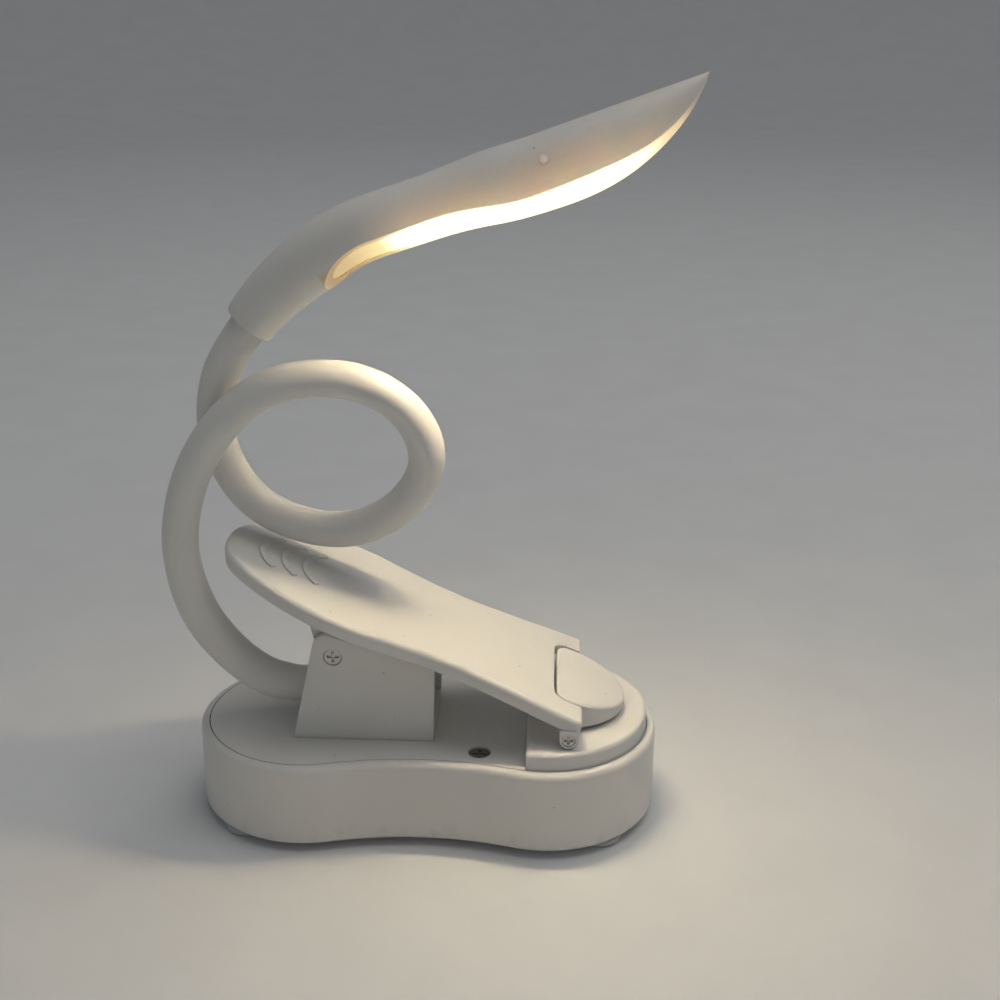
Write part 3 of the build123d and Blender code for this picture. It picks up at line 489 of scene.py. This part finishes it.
@dataclass(frozen=True)
class GlowingShell(Finish):
    """Thin shell with painted light: a warm glow painted along the edge of its opening stands in for the lamp's light
    shining through it.
    """

    axis: Vector = field(default_factory=lambda: Vector((1, 0, 0)))
    back: Vector = field(default_factory=lambda: Vector((0, 0, 1)))
    tip: Vector = field(default_factory=Vector)
    blade: float = 94.0 * MM
    depth_scale: float = 20.0 * MM
    opening: Levels = ()
    reach: float = 11.0 * MM
    window: Levels = ()
    # painted light: colour of the glow band above the opening, and the tint and glow of the cut edge
    painted_glow_tone: Tone = (0.2, 0.127, 0.056)
    painted_rim_light: Stops = ()
    painted_rim_tint: Tone = (0.66, 0.52, 0.33)
    rim_facing: Range = (0.72, 0.86)
    rim_start: Range = (0.012, 0.02)
    power: float = 1.4

    def place(self, bench: NodeBench) -> Socket:
        """Place along the blade, from 0 at the opening's heel to 1 at the tip."""
        ahead = self.tip.dot(self.axis)
        return bench.spread(bench.along(self.axis), (ahead - self.blade, ahead), (0.0, 1.0))

    def cut_face(self, bench: NodeBench) -> Socket:
        """Share by which a point lies on the cut edge of the opening.

        Args:
            bench: Node tree to fill.

        Returns:
            The socket with the share.
        """
        facing = bench.spread(bench.along(-self.back, bench.facing), self.rim_facing, (0.0, 1.0))
        return bench.combine(facing, bench.spread(self.place(bench), self.rim_start, (0.0, 1.0)))

    def colour(self, bench: NodeBench) -> Socket:
        """Shell colour with an amber tint painted over the cut edge, standing in for the panel's light.

        Args:
            bench: Node tree to fill.

        Returns:
            The socket with the colour.
        """
        return bench.blend(self.cut_face(bench), super().colour(bench), self.painted_rim_tint)

    def dress(self, bench: NodeBench) -> None:
        """Add painted light to the plain surface: a warm glow band above the opening and a glowing cut edge.

        Args:
            bench: Node tree to fill.
        """
        super().dress(bench)
        above = self.tip.dot(self.back)
        place = self.place(bench)
        deep = bench.spread(bench.along(self.back), (above - self.depth_scale, above), (1.0, 0.0))
        gap = bench.combine(bench.curve(place, self.opening), deep, "SUBTRACT")
        near = bench.spread(gap, (0.0, self.reach / self.depth_scale), (1.0, 0.0))
        share = bench.combine(bench.combine(near, near), bench.curve(place, self.window))
        # painted light: warm glow band above the opening, and a painted glow on the cut edge
        band = bench.ramp(share, ((0.0, (0.0, 0.0, 0.0)), (1.0, self.painted_glow_tone)))
        bench.emit(bench.blend(self.cut_face(bench), band, bench.ramp(place, self.painted_rim_light)), self.power)


@dataclass(frozen=True)
class Palette:
    """Every finish of the lamp that more than one place may use."""

    # shell and tub: painted shade darkens seams and crevices; the same dark tone also marks specks of dirt
    shell: Finish = Finish("warm_white_shell", (0.80, 0.78, 0.735), (0.765, 0.745, 0.70), (0.40, 0.55),
                           Grain.MOULDED, 5200.0, 0.03 * MM, 0.22, 0.35 * MM, subsurface=0.04,
                           speck_and_shade_tone=(0.30, 0.28, 0.25), painted_shade_reach=1.1 * MM, painted_shade_share=0.4, speck_share=0.8)
    tub: Finish = LowBandShell("scuffed_base_shell", (0.80, 0.78, 0.735), (0.765, 0.745, 0.70), (0.36, 0.5),
                               Grain.MOULDED, 5200.0, 0.03 * MM, 0.22, 0.35 * MM, subsurface=0.04,
                               speck_and_shade_tone=(0.30, 0.28, 0.25), painted_shade_reach=1.1 * MM, painted_shade_share=0.4, speck_share=0.7)
    silicone: Finish = Finish("neck_silicone", (0.82, 0.80, 0.755), (0.79, 0.77, 0.725), (0.38, 0.5),
                              Grain.SATIN, 2600.0, 0.03 * MM, 0.15, subsurface=0.12)
    foot: Finish = Finish("foot_pebble", (0.56, 0.55, 0.53), (0.50, 0.49, 0.47), (0.6, 0.8),
                          Grain.PEBBLED, 1800.0, 0.05 * MM, 0.4, 0.3 * MM, subsurface=0.08)
    pad: Finish = Finish("sole_pebble", (0.66, 0.645, 0.61), (0.6, 0.585, 0.55), (0.6, 0.8),
                         Grain.PEBBLED, 1500.0, 0.05 * MM, 0.4, 0.2 * MM)
    steel: Finish = Finish("plated_steel", (0.62, 0.61, 0.59), (0.52, 0.51, 0.49), (0.3, 0.46),
                           Grain.BRUSHED, 4200.0, 0.01 * MM, 0.3, 0.12 * MM, metallic=1.0)
    # painted shade darkens the cross slot of the screw heads
    screw: Finish = Finish("plated_screw", (0.80, 0.77, 0.72), (0.72, 0.69, 0.64), (0.34, 0.5),
                           Grain.BRUSHED, 4200.0, 0.01 * MM, 0.3, 0.1 * MM, metallic=0.3,
                           speck_and_shade_tone=(0.03, 0.028, 0.025), painted_shade_reach=0.7 * MM, painted_shade_share=1.0)
    # painted shade: the dark tone stands for the shaded recess round the cover screws, with more painted shade in the
    # slot
    sunk_screw: Finish = Finish("sunk_screw", (0.24, 0.225, 0.205), (0.19, 0.178, 0.16), (0.4, 0.55),
                                Grain.BRUSHED, 4200.0, 0.01 * MM, 0.3, 0.1 * MM, metallic=0.5,
                                speck_and_shade_tone=(0.03, 0.028, 0.025), painted_shade_reach=1.4 * MM, painted_shade_share=0.9)
    alloy: Finish = Finish("bare_core", (0.6, 0.6, 0.6), (0.52, 0.52, 0.52), (0.35, 0.5),
                           Grain.BRUSHED, 3000.0, 0.01 * MM, 0.3, metallic=1.0)
    cell: Finish = Finish("cell_wrap", (0.2, 0.34, 0.46), (0.16, 0.29, 0.4), (0.25, 0.4),
                          Grain.SATIN, 1500.0, 0.02 * MM, 0.2, 0.4 * MM)
    board: Finish = Finish("solder_mask", (0.7, 0.72, 0.7), (0.64, 0.67, 0.64), (0.28, 0.4),
                           Grain.SATIN, 3800.0, 0.01 * MM, 0.2)
    jacket: Finish = Finish("lead_skin", (0.74, 0.73, 0.7), (0.7, 0.69, 0.66), (0.4, 0.55),
                            Grain.SATIN, 2600.0, 0.02 * MM, 0.2)


def circle_angles(count: int) -> list[float]:
    """Angles of even places round a circle, in radians."""
    return [2 * math.pi * side / count for side in range(count)]


def ring_faces(rows: int, sides: int, start: int = 0) -> list[tuple[int, ...]]:
    """Quads between rings of points that follow each other.

    Args:
        rows: Number of rings.
        sides: Points in each ring.
        start: Index of the first ring's first point.

    Returns:
        The point indices of each quad.
    """
    faces = []
    for low in range(start, start + (rows - 1) * sides, sides):
        for side in range(sides):
            nxt = (side + 1) % sides
            faces.append((low + side, low + nxt, low + sides + nxt, low + sides + side))
    return faces


def mesh_object(name: str, points: list, faces: list[tuple[int, ...]], smooth: list[bool]) -> bpy.types.Object:
    """New mesh as an object in the scene.

    Args:
        name: Name of the object and its mesh.
        points: Places of the points in metres.
        faces: Point indices of each face.
        smooth: Whether each face is shaded smooth.

    Returns:
        The new object.
    """
    data = bpy.data.meshes.new(name)
    data.from_pydata(points, [], faces)
    data.polygons.foreach_set("use_smooth", smooth)
    data.update()
    made = bpy.data.objects.new(name, data)
    bpy.context.scene.collection.objects.link(made)
    return made


@dataclass
class SweptTube:
    """Round tube along a smooth line, with a ring of points at every place on it."""

    name: str
    radius: float
    sides: int = 40

    def rings(self, line: list[Vector], girth: list[float] | None = None) -> list[list[Vector]]:
        """Rings of points square to a line, without twist.

        Args:
            line: Points of the centre line.
            girth: Radius at each point, or None for the same all along.

        Returns:
            One list of points for each place on the line.
        """
        rows, across = [], None
        for index, here in enumerate(line):
            radius = girth[index] if girth else self.radius
            ahead = line[min(index + 1, len(line) - 1)]
            behind = line[max(index - 1, 0)]
            travel = (ahead - behind).normalized()
            guess = across if across is not None else travel.orthogonal()
            across = (guess - travel * guess.dot(travel)).normalized()
            other = travel.cross(across)
            rows.append([here + (across * math.cos(turn) + other * math.sin(turn)) * radius
                         for turn in circle_angles(self.sides)])
        return rows

    def mesh(self, rows: list[list[Vector]], capped: tuple[bool, bool]) -> bpy.types.Object:
        """Smooth mesh over rings.

        Args:
            rows: Rings of points.
            capped: Whether the first and last ring are closed.

        Returns:
            The new object, linked to the scene.
        """
        points = [point for row in rows for point in row]
        faces = ring_faces(len(rows), self.sides)
        smooth = len(faces)
        if capped[0]:
            faces.append(tuple(reversed(range(self.sides))))
        if capped[1]:
            faces.append(tuple(range(len(points) - self.sides, len(points))))
        return mesh_object(self.name, points, faces, [index < smooth for index in range(len(faces))])


def smooth_line(points: list[Vector], steps: int) -> list[Vector]:
    """Points read from a smooth spline that a route controls.

    Args:
        points: Control points in metres.
        steps: Points to each span.

    Returns:
        Points along the spline.
    """
    data = bpy.data.curves.new("route", "CURVE")
    data.dimensions = "3D"
    data.resolution_u = steps
    spline = data.splines.new("NURBS")
    spline.points.add(len(points) - 1)
    for place, point in zip(spline.points, points):
        place.co = (*point, 1.0)
    spline.order_u = 3
    spline.use_endpoint_u = True
    guide = bpy.data.objects.new("route", data)
    bpy.context.scene.collection.objects.link(guide)
    bpy.context.view_layer.update()
    mesh = bpy.data.meshes.new_from_object(guide.evaluated_get(bpy.context.evaluated_depsgraph_get()))
    line = [vertex.co.copy() for vertex in mesh.vertices]
    bpy.data.objects.remove(guide)
    bpy.data.curves.remove(data)
    bpy.data.meshes.remove(mesh)
    return line


def joint_place(name: str) -> Vector:
    """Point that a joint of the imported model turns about.

    Args:
        name: Name of the joint.

    Returns:
        The point in metres.
    """
    found = next(joint for joint in frame["joints"] if joint["name"] == name)
    return Vector(found["pos_m"])


def dress_node(name: str, finish: Finish) -> None:
    """Put a finish on a carried-over solid.

    Args:
        name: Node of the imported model.
        finish: Finish that it gets.
    """
    node = frame["nodes"][name]
    node.data.materials.clear()
    node.data.materials.append(finish.material())
    LOG.info("node %s: %s", name, finish.label)


@dataclass(frozen=True)
class Softbox:
    """Square soft light."""

    name: str
    place: Tone
    size: float
    power: float
    colour: Tone

    def build(self, aim: Vector) -> None:
        """Set the light up, turned to a point.

        Args:
            aim: Point that the light faces.
        """
        data = bpy.data.lights.new(self.name, "AREA")
        data.size = self.size
        data.energy = self.power
        data.color = self.colour
        made = bpy.data.objects.new(self.name, data)
        bpy.context.scene.collection.objects.link(made)
        made.location = self.place
        made.rotation_euler = (aim - Vector(self.place)).to_track_quat("-Z", "Y").to_euler()


@dataclass
class Studio:
    """Camera at the photograph's angle, a pale sweep and soft light."""

    place: Vector = field(default_factory=lambda: Vector((0.0298, -0.3253, 0.2086)))
    azimuth: float = 2.2
    elevation: float = 21.5
    roll: float = 0.5
    lens: float = 54.0
    sensor: float = 36.0
    clip: Range = (0.01, 50.0)
    tone: Tone = (0.79, 0.79, 0.78)
    tone_drift: float = 0.97
    floor_radius: float = 1.2
    floor_drop: float = 0.05 * MM
    sweep_curve: float = 0.9
    sweep_steps: int = 18
    sweep_sides: int = 96
    sky: Tone = (0.80, 0.86, 0.95)
    sky_strength: float = 0.175
    key: Softbox = Softbox("key", (0.3, 0.1, 1.2), 1.0, 4.6, (1.0, 0.97, 0.92))
    fill: Softbox = Softbox("fill", (0.5, -0.9, 0.7), 0.9, 0.4, (0.92, 0.95, 1.0))
    aim: Vector = field(default_factory=lambda: Vector((0, 0, 0.08)))

    def camera(self) -> None:
        """Camera matched to the photograph."""
        turn, rise, tilt = (math.radians(value) for value in (self.azimuth, self.elevation, self.roll))
        back = Vector((math.sin(turn) * math.cos(rise), -math.cos(turn) * math.cos(rise), math.sin(rise)))
        right = (-back).cross(Vector((0, 0, 1))).normalized()
        up = right.cross(-back)
        right, up = right * math.cos(tilt) + up * math.sin(tilt), up * math.cos(tilt) - right * math.sin(tilt)
        data = bpy.data.cameras.new("camera")
        data.lens = self.lens
        data.sensor_width = self.sensor
        data.clip_start, data.clip_end = self.clip
        made = bpy.data.objects.new("camera", data)
        bpy.context.scene.collection.objects.link(made)
        turned = Matrix((right, up, back)).transposed().to_4x4()
        made.matrix_world = Matrix.Translation(self.place) @ turned
        bpy.context.scene.camera = made

    def sweep(self) -> None:
        """Round floor that curves up into a low backdrop on every side."""
        angles = [math.pi / 2 * step / self.sweep_steps for step in range(self.sweep_steps + 1)]
        profile = [(self.floor_radius + self.sweep_curve * math.sin(angle),
                    self.sweep_curve * (1 - math.cos(angle)) - self.floor_drop) for angle in angles]
        turns = circle_angles(self.sweep_sides)
        points = [(out * math.cos(turn), out * math.sin(turn), up) for out, up in profile for turn in turns]
        faces = [tuple(range(self.sweep_sides))]
        faces += [face[::-1] for face in ring_faces(len(profile), self.sweep_sides)]
        made = mesh_object("sweep", points, faces, [index > 0 for index in range(len(faces))])
        made.data.materials.append(self.paper())

    def paper(self) -> bpy.types.Material:
        """Matte pale card with a faint drift of tone.

        Returns:
            The material of the sweep.
        """
        dark = tuple(value * self.tone_drift for value in self.tone)
        return Finish("pale_card", self.tone, dark, (0.75, 0.9), Grain.SATIN, 900.0, 0.05 * MM, 0.1).material()

    def lights(self) -> None:
        """Large soft key overhead, a weaker fill from the front and an even sky."""
        self.key.build(self.aim)
        self.fill.build(self.aim)
        world = bpy.data.worlds.new("studio")
        world.use_nodes = True
        ground = world.node_tree.nodes["Background"]
        ground.inputs["Color"].default_value = (*self.sky, 1.0)
        ground.inputs["Strength"].default_value = self.sky_strength
        bpy.context.scene.world = world

    def build(self) -> None:
        """Set up the whole studio."""
        self.camera()
        self.sweep()
        self.lights()
        bpy.context.scene.view_settings.view_transform = "Standard"
        LOG.info("studio: camera, sweep, lights")


@dataclass
class Base:
    """Two-lobed tub with its cover, feet, screws and sealed electrics."""

    palette: Palette
    foot_solid: float = 4.5 * MM
    foot_shift: Range = (0.58 * MM, 0.69 * MM)
    foot_profile: Levels = (
        (4.4 * MM, 0.0), (4.95 * MM, 0.12 * MM), (5.3 * MM, 0.45 * MM), (5.4 * MM, 0.9 * MM), (5.4 * MM, 2.0 * MM),
    )
    foot_sides: int = 48

    def foot_centres(self) -> list[Vector]:
        """Middles of the four feet, a little further out than their seats.

        Returns:
            The four points on the floor.
        """
        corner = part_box("rubber_feet")[1]
        across, deep = (corner[axis] - self.foot_solid + self.foot_shift[axis] for axis in (0, 1))
        return [Vector((side * across, end * deep, 0.0)) for side in (-1, 1) for end in (-1, 1)]

    def feet(self) -> None:
        """Rounded rubber feet that show under the edge of the tub."""
        count, rows = self.foot_sides, len(self.foot_profile)
        centres = self.foot_centres()
        points, faces, smooth = [], [], []
        for centre in centres:
            start = len(points)
            for out, up in self.foot_profile:
                points += [centre + Vector((out * math.cos(turn), out * math.sin(turn), up))
                           for turn in circle_angles(count)]
            sides = ring_faces(rows, count, start)
            sole = tuple(reversed(range(start, start + count)))
            top = tuple(range(len(points) - count, len(points)))
            faces += [*sides, sole, top]
            smooth += [True] * len(sides) + [False, False]
        made = mesh_object("foot_pads", points, faces, smooth)
        made.data.materials.append(self.palette.foot.material())
        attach(made, "base")
        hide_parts("rubber_feet")
        LOG.info("piece foot_pads: %d feet", len(centres))

    def build(self) -> None:
        """Dress the base's solids and set its feet."""
        self.feet()
        dress_node("base_housing", self.palette.tub)
        dress_node("top_cover", self.palette.shell)
        dress_node("cover_screws", self.palette.sunk_screw)
        dress_node("bracket_screws", self.palette.screw)
        dress_node("charging_inlet", self.palette.steel)
        dress_node("battery_cell", self.palette.cell)
        dress_node("control_board", self.palette.board)


@dataclass
class Clip:
    """Bracket, lever, jaw and the wound spring on the pivot."""

    palette: Palette
    pivot: Vector = field(default_factory=lambda: joint_place("clip_open"))
    wire: float = 0.5 * MM
    wire_sides: int = 14
    coil: float = 2.9 * MM
    pitch: float = 1.6 * MM
    turns: int = 5
    steps: int = 36
    leg_down: Range = (25.0, 8.0 * MM)
    leg_up: Range = (63.0, 13.04 * MM)
    leg_steps: int = 6

    def coil_point(self, angle: float, first: float) -> tuple[Vector, Vector]:
        """Point and travel on the helix.

        Args:
            angle: Angle round the pivot in degrees.
            first: Angle where the helix starts.

        Returns:
            The point and the unit direction of travel.
        """
        turn = math.radians(angle)
        width = self.pitch * ((angle - first) / 360 - self.turns / 2)
        place = self.pivot + Vector((self.coil * math.cos(turn), width, self.coil * math.sin(turn)))
        rise = self.pitch / (2 * math.pi)
        travel = Vector((-self.coil * math.sin(turn), rise, self.coil * math.cos(turn)))
        return place, travel.normalized()

    def spring(self) -> None:
        """Wound wire round the pivot, with a lower leg and an upper leg."""
        first = self.leg_down[0] - 90
        last = 90 - self.leg_up[0] + 360 * self.turns
        count = self.steps * (self.turns + 1)
        knots = [self.coil_point(first + (last - first) * i / count, first) for i in range(count + 1)]
        start, start_way = knots[0]
        end, end_way = knots[-1]
        shares = [step / self.leg_steps for step in range(self.leg_steps)]
        line = [start - start_way * self.leg_down[1] * (1 - share) for share in shares]
        line += [place for place, _ in knots]
        line += [end + end_way * self.leg_up[1] * (1 - share) for share in reversed(shares)]
        tube = SweptTube("spring_wire", self.wire, self.wire_sides)
        made = tube.mesh(tube.rings(line), (True, True))
        made.data.materials.append(self.palette.steel.material())
        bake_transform(made)
        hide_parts("torsion_spring")
        LOG.info("piece spring_wire: %d places", len(line))

    def build(self) -> None:
        """Dress the clip's solids and wind the spring."""
        for name in ("clip_bracket", "clip_lever", "jaw_platform", "jaw_shoe", "neck_socket"):
            dress_node(name, self.palette.shell)
        for name in ("pivot_pin", "jaw_pin"):
            dress_node(name, self.palette.screw)
        dress_node("jaw_pad", self.palette.pad)
        self.spring()


@dataclass
class Neck:
    """Silicone sleeve in three lengths, split at the two neck joints."""

    palette: Palette
    radius: float = 4.3 * MM
    route: tuple[tuple[float, float, float], ...] = (
        (-20.0, 0.0, 30.6), (-35.0, 0.0, 30.2), (-44.5, 0.0, 35.0), (-53.5, -0.8, 46.0), (-57.5, -1.8, 57.5),
        (-58.5, -3.0, 71.5), (-53.5, -4.5, 89.0), (-43.5, -5.5, 103.0), (-31.0, -5.5, 110.5),
        (-14.0, -4.0, 110.5), (-1.5, -2.0, 101.0), (1.5, 0.0, 87.5), (-8.0, 2.0, 74.5), (-23.0, 4.0, 69.0),
        (-41.0, 5.5, 74.5), (-49.5, 5.5, 88.5), (-49.5, 3.5, 102.5),
    )
    route_steps: int = 16
    mouth: tuple[float, float, float] = (-39.2, 0.0, 121.7)
    mouth_heading: float = 50.0
    approach: float = 8.0
    insert: float = 7.0
    low_bend: Vector = field(default_factory=lambda: joint_place("neck_bend"))
    high_bend: Vector = field(default_factory=lambda: joint_place("head_tilt"))
    low_reach: float = 13.0 * MM
    high_reach: float = 8.0 * MM
    spare: float = 2.0 * MM
    swell: float = 0.35 * MM
    swell_run: tuple[float, float, float, float] = (10.0 * MM, 17.0 * MM, 42.0 * MM, 62.0 * MM)

    def girth(self, line: list[Vector]) -> list[float]:
        """Radius along the neck, a little fuller round its first bend.

        Args:
            line: Points along the neck.

        Returns:
            The radius at each point.
        """
        rise, full, keep, end = self.swell_run
        gone, radii = 0.0, []
        for here, behind in zip(line, line[:1] + line[:-1]):
            gone += (here - behind).length
            share = min((gone - rise) / (full - rise), (end - gone) / (end - keep))
            share = min(max(share, 0.0), 1.0)
            radii.append(self.radius + self.swell * share * share * (3 - 2 * share))
        return radii

    def line(self) -> list[Vector]:
        """Smooth centre line from the socket to inside the head.

        Returns:
            Points along the neck in metres.
        """
        turn = math.radians(self.mouth_heading)
        way = Vector((math.cos(turn), 0, math.sin(turn)))
        ends = [Vector(self.mouth) + way * ahead for ahead in (-self.approach, self.insert)]
        return smooth_line([Vector(point) * MM for point in (*self.route, *ends)], self.route_steps)

    @staticmethod
    def nearest(line: list[Vector], centre: Vector) -> int:
        """Index of the point on the line that is nearest to the middle of a bend."""
        return min(range(len(line)), key=lambda index: (line[index] - centre).length)

    def split(self, line: list[Vector], centre: Vector, reach: float, sense: int) -> int:
        """Place on the line a reach away from a bend.

        Args:
            line: Points along the neck.
            centre: Middle of the bend.
            reach: Distance to go along the neck.
            sense: 1 to go towards the head, -1 towards the base.

        Returns:
            Index of the place.
        """
        index = self.nearest(line, centre)
        gone = 0.0
        while gone < reach:
            gone += (line[index + sense] - line[index]).length
            index += sense
        return index

    def length(self, name: str, rows: list, capped: tuple[bool, bool], node: str) -> bpy.types.Object:
        """One length of the sleeve.

        Args:
            name: Name of the piece.
            rows: Its rings.
            capped: Which ends are closed.
            node: Solid that it stands for.

        Returns:
            The new piece.
        """
        made = SweptTube(name, self.radius).mesh(rows, capped)
        made.data.materials.append(self.palette.silicone.material())
        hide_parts(node)
        LOG.info("piece %s: %d rings", name, len(rows))
        return made

    def bend(self, piece: bpy.types.Object) -> None:
        """Bake a length's placement into its mesh.

        Args:
            piece: Length of the sleeve.
        """
        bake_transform(piece)

    def build(self) -> None:
        """Make the three lengths and dress what is inside them."""
        line = self.line()
        rows = SweptTube("sleeve", self.radius).rings(line, self.girth(line))
        low = self.split(line, self.low_bend, self.low_reach + self.spare, 1)
        high = self.split(line, self.high_bend, self.high_reach + self.spare, -1)
        lower = self.length("sleeve_lower", rows[: low + 1], (True, False), "neck_sleeve_lower")
        loop = self.length("sleeve_loop", rows[low: high + 1], (False, False), "neck_sleeve_loop")
        upper = self.length("sleeve_upper", rows[high:], (False, True), "neck_sleeve_upper")
        self.bend(lower)
        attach(loop, "neck")
        self.bend(upper)
        for part in ("lower", "loop", "upper"):
            dress_node(f"neck_core_{part}", self.palette.alloy)
            dress_node(f"lead_{part}", self.palette.jacket)


@dataclass
class Head:
    """Quill-shaped shell with its lit panel, chips and indicator."""

    palette: Palette
    heading: float = 20.1
    roll: float = 28.0
    tip: Vector = field(default_factory=lambda: Vector((60.3, 0.0, 177.5)) * MM)
    blade: float = 94.0 * MM
    opening: Levels = (
        (0.0, 0.85), (0.15, 0.565), (0.3, 0.565), (0.56, 0.685), (0.78, 0.6), (0.9, 0.35), (1.0, 0.0),
    )
    # where along the blade the painted glow band above the opening shows
    window: Levels = ((0.12, 0.0), (0.26, 1.0), (0.75, 0.9), (0.92, 0.15))
    # painted light on the shell's cut edge, by place along the blade
    painted_rim_light: Stops = (
        (0.02, (0.01, 0.004, 0.0)), (0.1, (0.12, 0.075, 0.03)), (0.18, (0.36, 0.27, 0.14)),
        (0.26, (1.0, 0.86, 0.6)), (0.76, (1.0, 0.86, 0.6)), (0.87, (0.5, 0.41, 0.24)),
        (0.94, (0.24, 0.19, 0.105)), (1.0, (0.06, 0.05, 0.03)),
    )
    panel_glow: Stops = (
        (0.0, (0.0006, 0.0003, 0.0)), (0.09, (0.0045, 0.0026, 0.0006)), (0.17, (0.0105, 0.008, 0.003)),
        (0.21, (0.026, 0.021, 0.0125)), (0.28, (0.16, 0.13, 0.08)), (0.44, (0.9, 0.74, 0.49)),
        (0.5, (1.0, 0.82, 0.54)), (0.76, (1.0, 0.82, 0.54)), (0.85, (0.14, 0.11, 0.07)),
        (0.92, (0.02, 0.0155, 0.009)), (1.0, (0.013, 0.01, 0.005)),
    )
    panel_power: float = 76.0
    chip_glow: Stops = ((0.0, (1.0, 0.85, 0.55)), (1.0, (1.0, 0.88, 0.6)))
    chip_span: Range = (0.0, 0.06)

    def axes(self) -> tuple[Vector, Vector]:
        """Unit directions of the blade.

        Returns:
            The direction towards the tip and the direction out of the rolled back.
        """
        turn, roll = math.radians(self.heading), math.radians(self.roll)
        along = Vector((math.cos(turn), 0, math.sin(turn)))
        up = Vector((-math.sin(turn), 0, math.cos(turn)))
        return along, up * math.cos(roll) + Vector((0, 1, 0)) * math.sin(roll)

    def shell_look(self, *extra: str) -> dict[str, object]:
        """Values of the plain shell that the head's own finishes keep.

        Args:
            *extra: Names of further values.

        Returns:
            The values by name.
        """
        names = ("tone", "shade", "roughness", "grain", "grain_scale", "depth", "strength", "subsurface", *extra)
        return {name: getattr(self.palette.shell, name) for name in names}

    def shade(self) -> GlowingShell:
        """Finish of the shell, with painted glow along its opening.

        Returns:
            The finish.
        """
        along, back = self.axes()
        return GlowingShell("glowing_shell", **self.shell_look("edge", "speck_and_shade_tone", "speck_share"), axis=along, back=back,
                            tip=self.tip, blade=self.blade, opening=self.opening, window=self.window,
                            painted_rim_light=self.painted_rim_light)

    def panel(self) -> LitPanel:
        """Finish of the lit panel: amber at the heel, near white along the blade, cream at the tip.

        Returns:
            The finish.
        """
        along, _ = self.axes()
        ahead = self.tip.dot(along)
        return LitPanel("milky_panel", (0.78, 0.72, 0.58), (0.75, 0.69, 0.55), (0.3, 0.42), Grain.SATIN, 2400.0,
                        0.02 * MM, 0.15, axis=along, span=(ahead - self.blade, ahead), glow=self.panel_glow,
                        power=self.panel_power)

    def lens(self) -> SoftDot:
        """Finish of the small indicator.

        Returns:
            The finish.
        """
        low, high = (Vector(corner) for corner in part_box("indicator_lens"))
        return SoftDot("indicator_glow", **self.shell_look(), middle=(low + high) / 2)

    def chips(self) -> LitPanel:
        """Finish of the light-emitting chips.

        Returns:
            The finish.
        """
        return LitPanel("phosphor_chip", (0.9, 0.8, 0.4), (0.85, 0.75, 0.36), (0.3, 0.4), Grain.SATIN, 2400.0,
                        0.02 * MM, 0.1, span=self.chip_span, glow=self.chip_glow)

    def build(self) -> None:
        """Dress the head's solids."""
        dress_node("head_shade", self.shade())
        dress_node("neck_bush", self.palette.shell)
        dress_node("led_board", self.palette.board)
        dress_node("diffuser", self.panel())
        dress_node("leds", self.chips())
        dress_node("indicator_lens", self.lens())


def main() -> None:
    """Build the studio and the lamp's sub-assemblies in order."""
    logging.basicConfig(level=logging.INFO, format="%(message)s")
    palette = Palette()
    for group in (Studio(), Base(palette), Clip(palette), Neck(palette), Head(palette)):
        group.build()
        LOG.info("built %s", type(group).__name__)


if __name__ == "__main__":
    main()
